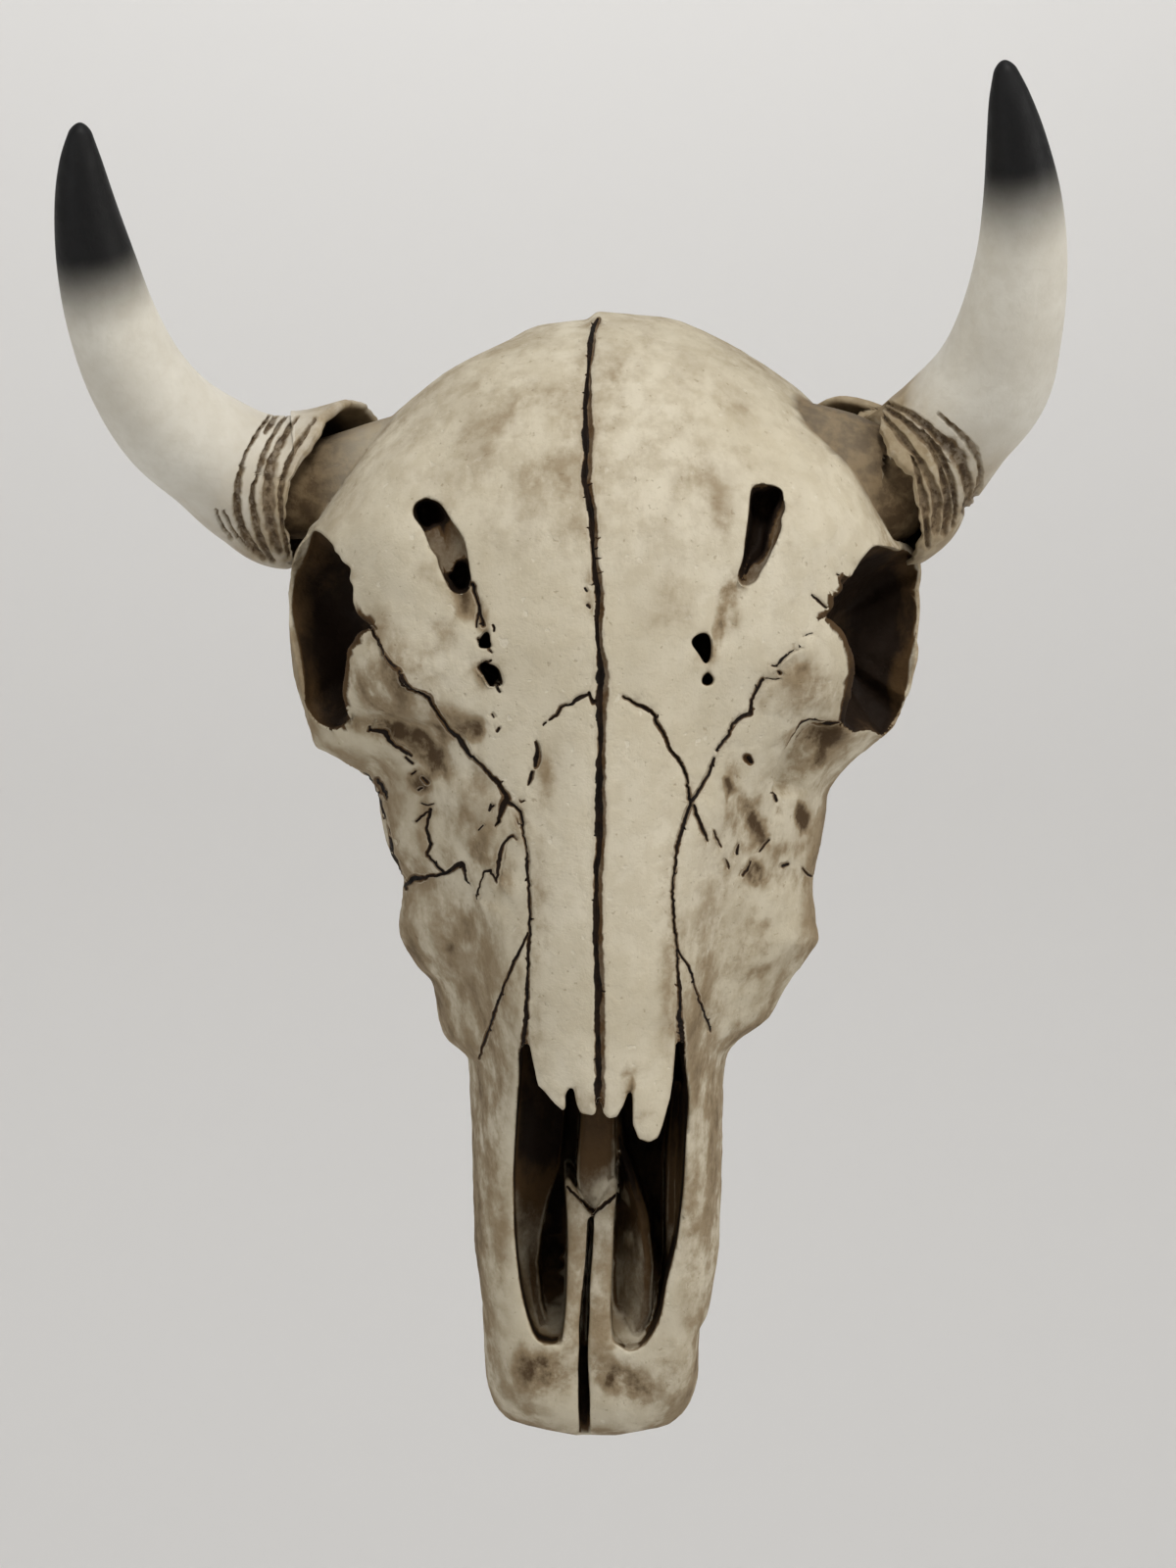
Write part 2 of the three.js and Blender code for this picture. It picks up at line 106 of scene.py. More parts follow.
bpy.ops.object.select_all(action="DESELECT")


# Lights
# A broad soft key above and a little right of the camera, a weaker light from each side, one that only
# brightens the backdrop, and a pale sky.
def soft_light(name, place, aim, size, watts, tint):
    bpy.ops.object.light_add(type="AREA", location=place)
    lamp = bpy.context.object
    lamp.name = name
    lamp.rotation_euler = (Vector(aim) - Vector(place)).to_track_quat("-Z", "Y").to_euler()
    lamp.data.shape = "DISK"
    lamp.data.size = size
    lamp.data.energy = watts
    lamp.data.color = tint


soft_light("key", (0.30, -1.1, 1.15), (0, 0, -0.02), 0.55, 12.5, (1.0, 0.985, 0.96))
soft_light("fill", (-1.0, -1.1, 0.15), (0, 0, -0.05), 1.0, 3.1, (0.97, 0.985, 1.0))
soft_light("side", (1.3, -0.6, 0.2), (0, 0, 0), 0.9, 5.6, (1.0, 0.98, 0.95))
soft_light("wash", (0, 1.2, 2.3), (0, 2.9, 1.0), 1.6, 25, (1.0, 0.995, 0.985))
world = bpy.data.worlds.new("pale_sky")
world.use_nodes = True
world.node_tree.nodes["Background"].inputs["Color"].default_value = (0.93, 0.94, 0.96, 1)
world.node_tree.nodes["Background"].inputs["Strength"].default_value = 0.45
bpy.context.scene.world = world
bpy.context.scene.view_settings.view_transform = "Standard"


# Skull
# One resin casting of a weathered skull: a closed skin drawn from lines along its length, with the sockets,
# slots and nose cut out and the horn cores, nasal plate, middle bar and scroll bones grown from it.
def along(knots):
    """A smooth curve through the knots that never swings past them (monotone cubic)."""
    place, size = np.array(sorted(knots), float).T
    step = np.diff(place)
    rise = np.diff(size) / step
    both = rise[:-1] * rise[1:]
    middle = np.where(both > 0, 2 * both / np.where(both > 0, rise[:-1] + rise[1:], 1), 0)
    slope = np.concatenate([rise[:1], middle, rise[-1:]])

    def at(where):
        where = np.clip(where, place[0], place[-1])
        i = np.clip(np.searchsorted(place, where, side="right") - 1, 0, len(step) - 1)
        t = (where - place[i]) / step[i]
        a, b = size[i], size[i + 1]
        lead, trail = slope[i] * step[i], slope[i + 1] * step[i]
        return a + t * (lead + t * (3 * (b - a) - 2 * lead - trail + t * (2 * (a - b) + lead + trail)))

    return at


# The lines that the head is drawn from, crown to chin: each knot is z, then the line's x or its depth in
# front of the back. From the middle outward they are mid, inner, brow, side and flank, then the back.
MID_DEPTH = along([
    (86.6, 43), (84.5, 56), (79, 67), (68, 79), (54, 89), (38, 97), (20, 101), (0, 101.5), (-20, 99.5),
    (-45, 97), (-75, 93), (-100, 88.5), (-110, 84), (-118, 72), (-135, 62), (-160, 53), (-185, 45),
    (-200, 40), (-212, 34), (-217, 29), (-220, 23)])
INNER_X = along([
    (86.6, 0.6), (84, 12), (78, 18), (68, 23), (54, 26), (38, 28), (20, 27), (0, 25), (-20, 22),
    (-40, 19.5), (-62, 20), (-95, 18.5), (-118, 19.5), (-160, 19), (-205, 15), (-217, 9), (-220, 4)])
INNER_DEPTH = along([
    (86.6, 43), (84, 54), (78, 64), (68, 75.5), (54, 86), (38, 93.5), (20, 98), (0, 98), (-20, 96),
    (-45, 92), (-75, 87), (-100, 82), (-118, 71), (-135, 62), (-160, 53), (-185, 45), (-200, 40),
    (-212, 34), (-217, 29), (-220, 23)])
BROW_X = along([
    (86.6, 0.9), (84, 19), (78, 29), (68, 39), (54, 47), (38, 53), (20, 56), (0, 54), (-20, 47),
    (-40, 38), (-65, 35), (-85, 34), (-105, 30), (-118, 28), (-160, 27.5), (-205, 23), (-217, 13),
    (-220, 6)])
BROW_DEPTH = along([
    (86.6, 43), (84, 50), (78, 57), (68, 65), (54, 73), (38, 83), (20, 89), (0, 88), (-20, 85),
    (-40, 80), (-65, 73), (-85, 67), (-105, 61), (-118, 58), (-135, 55), (-160, 49), (-185, 42),
    (-200, 38), (-212, 32), (-217, 28), (-220, 23)])
SIDE_X = {
    "left": along([
        (86.6, 1.2), (84.7, 16), (80, 24.5), (71.3, 39.5), (61.6, 52.4), (56.3, 57.5), (38, 67.5), (28, 74),
        (20, 80), (7, 81.8), (-9, 80.5), (-19, 78.5), (-27, 76), (-30.4, 74.6), (-32.2, 69.3), (-36, 63),
        (-41, 59), (-50, 57.2), (-58, 55.4), (-65.7, 51.8), (-78.4, 53.4), (-89, 48.6), (-94, 44.6),
        (-103.7, 42.9), (-109, 40.8), (-115, 35), (-133.6, 34), (-160.7, 33.4), (-182.6, 31.4),
        (-202, 30.4), (-210, 28.8), (-216, 24), (-218.8, 13), (-220, 7)]),
    "right": along([
        (86.6, 1.2), (84.7, 18), (80, 31.5), (75.5, 40), (66.8, 53), (62, 58), (50.6, 66.5), (43, 70),
        (31.8, 73.5), (22.8, 79), (17, 84.6), (0, 85.6), (-14, 83.8), (-20, 80.6), (-26.4, 77.2),
        (-31, 72), (-36, 66.2), (-42.6, 61.8), (-53, 60.5), (-62, 58.6), (-66, 57.9), (-77, 59.1),
        (-81.5, 59.9), (-85, 58), (-91.6, 53.2), (-98.4, 49.4), (-104, 46.2), (-108.4, 40.1),
        (-113.4, 35.6), (-120, 34.5), (-160.7, 33.9), (-185, 30.6), (-190, 28), (-202, 27.9),
        (-210, 26.3), (-217.6, 20), (-220, 8)]),
}
SIDE_DEPTH = along([
    (86.6, 43), (78, 42), (60, 45), (38, 58), (28, 60), (20, 56), (0, 52), (-20, 50), (-31, 48),
    (-50, 46), (-65, 45), (-78, 41), (-95, 38), (-115, 35), (-135, 33), (-160, 31), (-185, 28),
    (-205, 24), (-217, 21), (-220, 18)])
FLANK_X = along([
    (86.6, 1), (84, 16), (78, 27), (68, 42), (56, 50), (38, 53), (20, 60), (0, 62), (-20, 59), (-40, 50),
    (-70, 44), (-100, 36), (-120, 32), (-205, 27), (-216, 17), (-220, 6)])
FLANK_DEPTH = along([
    (86.6, 43), (84, 33), (78, 24), (68, 16), (54, 14), (20, 20), (0, 22), (-31, 20), (-65, 18),
    (-100, 15), (-160, 12), (-205, 10), (-220, 9)])
BACK_SHARE = 0.88
BROW_SHARE = 0.9
BACK_DEPTH = along([
    (86.6, 43), (84, 26), (78, 11), (68, -3), (54, -8), (-213, -8), (-218, 0), (-220, 6)])

VOXEL_MM = 0.55
SKULL_TRIANGLES = 190000
TO_METRES = Matrix.Scale(0.001, 4)
chance = np.random.default_rng(11)


def smooth_step(low, high, value):
    t = np.clip((value - low) / (high - low), 0, 1)
    return t * t * (3 - 2 * t)


def hermite_spans(before, start, end, after):
    """Centripetal spans through start and end, each as a function of t from 0 to 1."""
    gap = [np.maximum(np.linalg.norm(b - a, axis=-1, keepdims=True), 1e-6) ** 0.5
           for a, b in ((before, start), (start, end), (end, after))]
    lead = (start - before) / gap[0] - (end - before) / (gap[0] + gap[1]) + (end - start) / gap[1]
    trail = (end - start) / gap[1] - (after - start) / (gap[1] + gap[2]) + (after - end) / gap[2]
    lead, trail = lead * gap[1], trail * gap[1]
    return lambda t: (start + t * (lead + t * (3 * (end - start) - 2 * lead - trail
                                               + t * (2 * (start - end) + lead + trail))))


def closed_curve(points, counts):
    """A smooth closed curve through points[..., n, :], with counts[i] places on its stretch i."""
    spans = hermite_spans(np.roll(points, 1, -2), points, np.roll(points, -1, -2), np.roll(points, -2, -2))
    taken = []
    for i, count in enumerate(counts):
        for k in range(count):
            taken.append(spans(k / count)[..., i, :])
    return np.stack(taken, -2)


def closed_mesh(name, points, faces):
    """An object of the given faces, turned outward."""
    mesh = bpy.data.meshes.new(name)
    mesh.from_pydata(np.asarray(points).tolist(), [], faces)
    made = bpy.data.objects.new(name, mesh)
    bpy.context.collection.objects.link(made)
    work = bmesh.new()
    work.from_mesh(mesh)
    if work.calc_volume(signed=True) < 0:
        bmesh.ops.reverse_faces(work, faces=work.faces[:])
        work.to_mesh(mesh)
    work.free()
    return made


def skin_mesh(name, rings):
    """A closed mesh through equal rings of points, in millimetres, with a fan over each end."""
    rings = np.asarray(rings, float)
    count, sides = rings.shape[:2]
    points = np.concatenate([rings.reshape(-1, 3), rings[[0, -1]].mean(1)])
    faces = []
    for i in range(count - 1):
        for j in range(sides):
            a, b = i * sides + j, i * sides + (j + 1) % sides
            faces.append((a, a + sides, b + sides, b))
    last = (count - 1) * sides
    for j in range(sides):
        k = (j + 1) % sides
        faces.append((j, k, count * sides))
        faces.append((last + k, last + j, count * sides + 1))
    return closed_mesh(name, points, faces)


SHAPED_BY = {}


def combine(body, tool, how, mark=None):
    """Cuts the tool from the body or joins it on, and removes it. A mark keeps its surface for painting."""
    if mark:
        corners = [v.co.copy() for v in tool.data.vertices]
        surface = BVHTree.FromPolygons(corners, [list(p.vertices) for p in tool.data.polygons])
        box = np.array([min(corners, key=lambda c: c[k])[k] for k in range(3)]
                       + [max(corners, key=lambda c: c[k])[k] for k in range(3)])
        SHAPED_BY.setdefault(mark, []).append((surface, box, -1 if how == "DIFFERENCE" else 1))
    change = body.modifiers.new(how.lower(), "BOOLEAN")
    change.operation = how
    change.solver = "MANIFOLD"
    change.object = tool
    bpy.context.view_layer.objects.active = body
    bpy.ops.object.modifier_apply(modifier=change.name)
    bpy.data.objects.remove(tool)


def seen_at(points, depth):
    """Where pixels of the photograph lie at a depth in front of the flat back, in millimetres."""
    points = np.asarray(points, float)
    scale = (-CAMERA_MM[1] - np.asarray(depth, float)) / FOCAL_PIXELS
    x = (points[:, 0] - FRAME_PIXELS[0] / 2) * scale + CAMERA_MM[0]
    z = (FRAME_PIXELS[1] / 2 - points[:, 1]) * scale + CAMERA_MM[2]
    return np.stack([x, np.broadcast_to(-np.asarray(depth, float), x.shape), z], -1)


def in_photo(points):
    """The pixel of the photograph where each point, in millimetres, is seen."""
    away = points[:, 1] - CAMERA_MM[1]
    u = FRAME_PIXELS[0] / 2 + (points[:, 0] - CAMERA_MM[0]) * FOCAL_PIXELS / away
    v = FRAME_PIXELS[1] / 2 - (points[:, 2] - CAMERA_MM[2]) * FOCAL_PIXELS / away
    return u, v


def rounded(outline, per_stretch=4):
    """The outline as a smooth closed curve."""
    outline = np.asarray(outline, float)
    return closed_curve(outline, [per_stretch] * len(outline))


def prism(name, outline, rear, front):
    """A straight block with an outline of x and z, from a rear depth to a front depth."""
    outline = np.asarray(outline, float)
    flat = lambda depth: np.stack([outline[:, 0], np.full(len(outline), -float(depth)), outline[:, 1]], -1)
    return skin_mesh(name, [flat(rear), flat(front)])


# Head: level sections from the crown to the end of the muzzle
# Points on each stretch of a section's half, from the middle of the face to the middle of the back
SECTION_COUNTS = [24, 18, 20, 16, 6, 8]


def head_sections(levels):
    """Closed rings round the head at the given levels, from the middle of the face round by the right."""
    halves = {}
    for side, sign in (("right", 1), ("left", -1)):
        wide = SIDE_X[side](levels)
        flank, back = FLANK_X(levels), BACK_DEPTH(levels)
        x = [0 * wide, INNER_X(levels), np.minimum(BROW_X(levels), BROW_SHARE * wide), wide, flank,
             BACK_SHARE * flank, 0 * wide]
        depth = [MID_DEPTH(levels), INNER_DEPTH(levels), BROW_DEPTH(levels), SIDE_DEPTH(levels),
                 FLANK_DEPTH(levels), back, back]
        halves[side] = np.stack([np.stack([sign * a, -b, levels], -1) for a, b in zip(x, depth)], 1)
    landmarks = np.concatenate([halves["right"], halves["left"][:, 1:-1][:, ::-1]], 1)
    return closed_curve(landmarks, SECTION_COUNTS + SECTION_COUNTS[::-1])


# Levels of the sections: on an arc up to the crown's top, evenly spaced below it, and closer at the chin
CROWN_TOP = 86.6
CROWN_CENTRE = 22
CROWN_DEGREES = np.linspace(88.5, 27, 34)
LEVELS_FROM = 50
LEVELS_TO = -208
CHIN = [-209, -211, -213, -214.6, -216, -217.2, -218.2, -219, -219.6, -220]
LEVEL_GAP = 1.6
LEFT_CROWN_DROP = 2.1


def crown_drop(x, z):
    """How far the crown's left half sits below its right half, with a small step at the middle seam."""
    return LEFT_CROWN_DROP * smooth_step(0.5, -3, x) * smooth_step(40, 84, z)


crown = CROWN_CENTRE + (CROWN_TOP - CROWN_CENTRE) * np.sin(np.radians(CROWN_DEGREES))
sections = head_sections(np.concatenate([crown, np.arange(LEVELS_FROM, LEVELS_TO, -LEVEL_GAP), CHIN]))
dropped = sections.copy()
dropped[..., 2] -= crown_drop(sections[..., 0], sections[..., 2])
skull = skin_mesh("skull_cast", dropped)
WALL_BLOCK = [(-300, -300), (300, -300), (300, 300), (-300, 300)]
combine(skull, prism("behind", WALL_BLOCK, 0, -60), "DIFFERENCE")

# The head's own skin as a grid of depths, before anything is cut from it
front_half = sum(SECTION_COUNTS[:3])
face_lines = np.concatenate([sections[:, -front_half:], sections[:, :front_half + 1]], 1)
FACE_STEP = 0.5
FACE_X = np.arange(-92, 92.5, FACE_STEP)
face_z = face_lines[:, 0, 2][::-1]
face_depth = np.stack([np.interp(FACE_X, line[:, 0], -line[:, 1]) for line in face_lines])[::-1]


def skin_depth(x, z):
    """How far in front of the back the head's own skin lies, at each place of the face."""
    z = z + crown_drop(x, z)
    i = np.clip(np.searchsorted(face_z, z) - 1, 0, len(face_z) - 2)
    t = np.clip((z - face_z[i]) / (face_z[i + 1] - face_z[i]), 0, 1)
    column = np.clip((x - FACE_X[0]) / FACE_STEP, 0, len(FACE_X) - 1.001)
    j = column.astype(int)
    w = column - j
    low = face_depth[i, j] * (1 - w) + face_depth[i, j + 1] * w
    high = face_depth[i + 1, j] * (1 - w) + face_depth[i + 1, j + 1] * w
    return low * (1 - t) + high * t


# Nose: the hollow under the broken ends of the nasal bones
NOSE_FLOOR = 12
NOSE_CLEAR = 110
UNDER_NASAL_FRONT = 74
NOSE_OUTLINE = [
    (-18.4, -106.5), (-20.1, -116.4), (-21.2, -129), (-22, -143.6), (-21.6, -162.6), (-20.1, -176.2),
    (-17.8, -186), (-15.4, -190), (-9.4, -190.6), (-2, -188), (5.1, -190.6), (8.6, -192.5),
    (12.4, -191.2), (16.6, -184.5), (18.8, -173.4), (21.2, -162.6), (22.9, -148.9), (23.6, -132.7),
    (24, -121.8), (22.6, -112.4), (21.4, -106)]
UNDER_NASAL = [(-16, -112), (-16, -96), (-11, -90), (12, -90), (18, -96), (18, -112)]
combine(skull, prism("nose", rounded(NOSE_OUTLINE), NOSE_FLOOR, NOSE_CLEAR), "DIFFERENCE", "nose")
combine(skull, prism("under_nasal", UNDER_NASAL, NOSE_FLOOR + 4, UNDER_NASAL_FRONT), "DIFFERENCE", "nose")

# Nasal plate: a thin arched sheet that ends in broken fingers over the nose
NASAL_FRONT = along([(-86, 90.2), (-96, 89), (-104, 87.8), (-115, 86), (-132, 82.4)])
NASAL_CAMBER = along([(-86, 0.0205), (-104, 0.0195), (-132, 0.0145)])
NASAL_THICK = 4.2
NASAL_HALF_WIDTH = 22
NASAL_ENDS = (-86, -132)
NASAL_CUT = (50, 100)
NASAL_TIPS = [
    (20.4, -97), (20.2, -104.2), (19.4, -114.9), (18.6, -120.6), (16.9, -126.5), (15.6, -130.2),
    (13.1, -131.3), (10.6, -130.2), (9.2, -126.5), (9, -120.6), (8.7, -117), (7.8, -118.3),
    (6.6, -121.6), (4.9, -124.4), (2.9, -124.9), (1.6, -123.6), (0.6, -119), (-0.4, -123.4),
    (-1.1, -124), (-4.1, -123.6), (-5.4, -120.6), (-5.8, -117), (-7, -116.6), (-8.1, -119.1),
    (-7.9, -122.4), (-8.8, -122.8), (-10.8, -121.1), (-13.3, -118.2), (-15.1, -116.6),
    (-16.1, -111.7), (-17.4, -105.9), (-18.2, -97), (-18.6, -86), (19.4, -86)]


def nasal_plate():
    """The arched sheet, cut to its broken tips."""
    across = np.linspace(-NASAL_HALF_WIDTH, NASAL_HALF_WIDTH, 34)
    rings = []
    for z in np.linspace(*NASAL_ENDS, 30):
        front = NASAL_FRONT(z) - NASAL_CAMBER(z) * across ** 2
        outer = np.stack([across, -front, np.full_like(across, z)], -1)
        rings.append(np.concatenate([outer, outer[::-1] + (0, NASAL_THICK, 0)]))
    plate = skin_mesh("nasal_plate", rings)
    combine(plate, prism("tips", NASAL_TIPS, *NASAL_CUT), "INTERSECT")
    return plate


combine(skull, nasal_plate(), "UNION")

# Middle bar of the nose: the vomer above, two prongs below with a slit between them
BAR_REAR = 6
BAR_EDGE = 1.1
VOMER_EDGE = 2.2


def nose_mass(name, stations, edge, corner_points, slimmest):
    """A mass down the nose with rounded edges. Each station is z, then x and front depth on its left and on
    its right."""
    rings = []
    turn = np.linspace(0, math.pi / 2, corner_points)
    for z, left, left_front, right, right_front in stations:
        r = min(edge, (right - left) / slimmest)
        x = np.concatenate([right - r + r * np.cos(turn), left + r - r * np.sin(turn), [left, right]])
        depth = np.concatenate([right_front - r + r * np.sin(turn), left_front - r + r * np.cos(turn),
                                [BAR_REAR, BAR_REAR]])
        rings.append(np.stack([x, -depth, np.full_like(x, z)], -1))
    return skin_mesh(name, rings)


def upright_bar(name, stations, edge=BAR_EDGE):
    """A bar down the nose with a level front. Each station is z, left x, right x and front depth."""
    both = [(z, left, front, right, front) for z, left, right, front in stations]
    return nose_mass(name, both, edge, corner_points=6, slimmest=2.1)


combine(skull, upright_bar("vomer", [
    (-104, -3.6, 4.4, 50), (-120, -3.8, 4.8, 48), (-130, -4.2, 5, 46.5), (-140, -5, 5.2, 45),
    (-146, -5.4, 5, 44), (-150, -4.6, 3.6, 43.4), (-154, -2.6, 1.2, 42.6),
    (-156.5, -1.2, -0.2, 42)], VOMER_EDGE), "UNION", "vomer")
combine(skull, upright_bar("prong_left", [
    (-146, -8.4, -7.4, 43.8), (-150, -8.2, -5, 45.6), (-155, -7.9, -1.9, 46.8), (-163, -7.7, -1.8, 46.4),
    (-172, -7.9, -2.3, 45.8), (-181, -8.2, -2.9, 44.8), (-188, -9, -3.4, 43.7), (-196, -10.4, -3.6, 41.5)]),
    "UNION", "prong")
combine(skull, upright_bar("prong_right", [
    (-146, 4.6, 5.6, 43.8), (-150, 2, 5.4, 45.6), (-155, -0.8, 4.8, 46.8), (-163, -1.6, 4.4, 46.4),
    (-172, -2.2, 4.0, 45.8), (-181, -2.8, 3.8, 44.8), (-188, -3.3, 4.2, 43.7), (-196, -3.5, 6.0, 41.5)]),
    "UNION", "prong")

# Scroll bones and the hollow's lower ends: [z, left x, depth there, right x, depth there]
NOSE_SHELVES = {
    "left_scroll": [(-106, -24, 40, -8, 30), (-128, -25, 42, -8.4, 33), (-144, -25, 41, -9.8, 33),
                    (-155, -25, 38, -13.6, 32), (-163, -25, 36, -15, 31), (-171, -24, 34, -15.9, 30),
                    (-182, -22, 33, -14.9, 29), (-191, -20, 33, -12.5, 28), (-198, -20, 33, -12, 28)],
    "right_scroll": [(-106, 3, 20, 9, 34), (-128, 3.4, 20, 6.4, 36), (-137.4, 3.4, 20, 7.4, 37),
                     (-146.7, 3.4, 20, 11, 37), (-157.4, 3.4, 21, 14.2, 36), (-170.7, 3, 22, 15.8, 35),
                     (-184, 3, 24, 15.4, 33), (-194, 3, 26, 11.6, 32), (-198, 3, 26, 11, 32)],
    "right_wall": [(-122, 21, 22, 27, 45), (-132, 20, 26, 27, 45), (-146, 19.2, 29, 27, 43),
                   (-160, 19, 29, 26, 40), (-172, 19, 26, 25, 37), (-182, 19, 20, 24, 35)],
    "left_foot": [(-164, -18, 11, -6, 11), (-176, -18, 16, -6, 16), (-184, -18, 23, -6, 23),
                  (-189, -18, 29, -6, 29), (-193, -18, 35, -6, 35), (-198, -18, 38, -6, 38)],
    "right_foot": [(-164, 3, 11, 18, 11), (-176, 3, 17, 18, 15), (-184, 3, 25, 18, 22),
                   (-189, 3, 31, 18, 29), (-193, 3, 36, 18, 35), (-198, 3, 39, 18, 38)],
}
SHELF_EDGE = 2.4

for name, stations in NOSE_SHELVES.items():
    shelf = nose_mass("nose_shelf", stations, SHELF_EDGE, corner_points=5, slimmest=2.2)
    combine(skull, shelf, "UNION", name)

# The slit between the prongs
SLIT_DEPTHS = (24, 70)
SLIT = [
    (-0.7, -156), (-1.05, -165.8), (-1.8, -176), (-2.1, -186), (-2.3, -197), (-1.9, -205), (-1.7, -224),
    (-4.5, -224), (-4.9, -205), (-4.9, -197), (-4.6, -186), (-3.9, -176), (-2.9, -165.8), (-2.3, -156)]
combine(skull, prism("slit", SLIT, *SLIT_DEPTHS), "DIFFERENCE", "hole")

# Horn cores: [x, depth, z, radius] from inside the skull out to the tip, as for the sheaths
HORNS = {
    "left": {
        "inside": [(-44, 52, 47), (-59, 50, 43)],
        "sheath": [
            (-72.6, 48.5, 39.4, 20.2), (-82.4, 49, 38.1, 20.6), (-91.8, 52, 41, 17.9),
            (-101, 58, 46.6, 15.7), (-110.2, 67, 53.4, 14.5), (-117.4, 77, 63.6, 12.9),
            (-122, 87, 76.2, 11.4), (-124.4, 96, 89, 9.9), (-125.8, 104, 102.3, 7.5),
            (-125.9, 109, 111.6, 5.2), (-125.3, 113, 120.2, 2)],
    },
    "right": {
        "inside": [(48, 52, 46), (64, 50, 43)],
        "sheath": [
            (74.5, 48, 38.8, 23), (79.8, 49, 40.4, 21.2), (84.8, 51.5, 45, 17.9), (89.7, 54, 50.2, 17),
            (94.4, 57.5, 55.4, 16.2), (102, 66.5, 64.2, 15.6), (105.2, 78, 75.8, 13.6),
            (106.4, 90, 91.2, 11.5), (105, 100, 104, 9.7), (102.5, 107, 116.2, 7.5),
            (99.9, 112, 126.6, 5), (98, 115, 134.8, 2)],
    },
}
CORE_START = -26
CORE_LENGTH = 16
CORE_RADIUS = 12.7
CORE_SIDES = 48
CORE_ROOT = 0.4
CORE_SWELL = {"left": 0, "right": 3.2}
PATH_STEPS = 50


def horn_path(side):
    """A horn's middle line, its frame and its radius, all by the distance from the sheath's inner knot."""
    knots = np.array(HORNS[side]["inside"] + [p[:3] for p in HORNS[side]["sheath"]], float) * (1, -1, 1)
    ends = np.concatenate([[2 * knots[0] - knots[1]], knots, [2 * knots[-1] - knots[-2]]])
    spans = hermite_spans(ends[:-3], ends[1:-2], ends[2:-1], ends[3:])
    shares = np.arange(0, 1, 1 / PATH_STEPS)
    fine = np.concatenate([np.stack([spans(t)[i] for t in shares]) for i in range(len(knots) - 1)])
    fine = np.concatenate([fine, knots[-1:]])
    reach = np.concatenate([[0], np.cumsum(np.linalg.norm(np.diff(fine, axis=0), axis=1))])
    first = len(HORNS[side]["inside"])
    lip = reach[PATH_STEPS * first]
    at_knots = reach[::PATH_STEPS][first:]
    radius = along(list(zip(at_knots - lip, [p[3] for p in HORNS[side]["sheath"]])))

    def frames(s):
        s = np.asarray(s, float)
        behind, middle, before = (
            np.stack([np.interp(s + lip + step, reach, fine[:, k]) for k in range(3)], -1)
            for step in (-1, 0, 1))
        ahead = before - behind
        ahead /= np.linalg.norm(ahead, axis=-1, keepdims=True)
        across = np.cross(ahead, (0, -1, 0))
        across /= np.linalg.norm(across, axis=-1, keepdims=True)
        return middle, across, np.cross(across, ahead)

    return frames, radius, reach[-1] - lip


def bar_rings(frames, s, radius, sides):
    """Round rings along a horn's middle line, at the distances s."""
    middle, across, front = (part[:, None] for part in frames(s))
    turn = np.linspace(0, 2 * math.pi, sides, endpoint=False)[None, :, None]
    return middle + np.asarray(radius, float)[:, None, None] * (across * np.cos(turn) + front * np.sin(turn))


# Eye sockets: deep hollows cut to the openings that the photograph shows
ORBITS = {
    "left": {
        "opening": [
            (322, 541), (326, 543), (331, 547), (336, 552), (341, 557), (342, 563), (347, 566), (348, 571),
            (354, 576), (358, 579), (358, 585), (357, 592), (361, 598), (361, 606), (361, 614), (363, 622),
            (367, 629), (373, 634), (377, 636), (380, 640), (376, 643), (370, 645), (364, 650), (360, 657),
            (355, 662), (354, 668), (353, 678), (352, 690), (350, 705), (351, 718), (353, 727), (354, 732),
            (350, 736), (344, 741), (339, 743), (333, 741), (325, 736), (318, 728), (313, 718), (311, 705),
            (310, 690), (309, 675), (307, 662), (304, 648), (301, 635), (299, 620), (299, 605), (302, 590),
            (306, 580), (311, 572), (314, 563), (317, 553), (319, 545)],
        "centre": (-71.5, 66, 0),
        "outward": (-0.84, 0.54),
    },
    "right": {
        "opening": [
            (893, 557), (899, 558), (906, 560), (913, 562), (920, 562), (926, 564), (931, 569), (935, 576),
            (936, 584), (935, 592), (933, 600), (934, 610), (935, 620), (935, 630), (934, 642), (932, 655),
            (930, 665), (927, 676), (926, 690), (924, 705), (921, 716), (916, 728), (910, 738), (904, 745),
            (900, 749), (895, 747), (888, 744), (880, 744), (872, 746), (866, 743), (860, 738), (861, 728),
            (863, 718), (866, 705), (869, 692), (870, 682), (869, 670), (866, 660), (862, 650), (855, 641),
            (848, 635), (842, 631), (836, 633), (841, 629), (845, 624), (850, 618), (851, 612), (848, 607),
            (856, 606), (860, 602), (861, 597), (858, 592), (861, 587), (866, 590), (871, 585), (874, 580),
            (877, 574), (881, 568), (885, 563), (889, 559)],
        "centre": (74, 66, -0.5),
        "outward": (0.84, 0.54),
    },
}
# Each layer of a socket: its place outward of the rim, in millimetres, so less than nought, and its size
SOCKET_LAYERS = [(0, 1), (-2, 0.965), (-5, 0.9), (-10, 0.79), (-16, 0.63), (-21, 0.45), (-25, 0.25),
                 (-27, 0.08)]
SOCKET_INWARD = 0.5
SIGHT_CLEAR = (34, 12)
SETTLE_ROUNDS = 6
SOCKET_WALL = 1.3
SHELL_INSIDE = 0.9
RIM_RADIUS = 1.7
# What is cleared before the opening: how far ahead of its ring, and how much wider on the outer side
FRONT_LAYERS = [(-0.1, 0.2), (1.5, 2), (12, 5), (34, 9)]
RIM_SIDES = 12
RIM_SINKS = 3


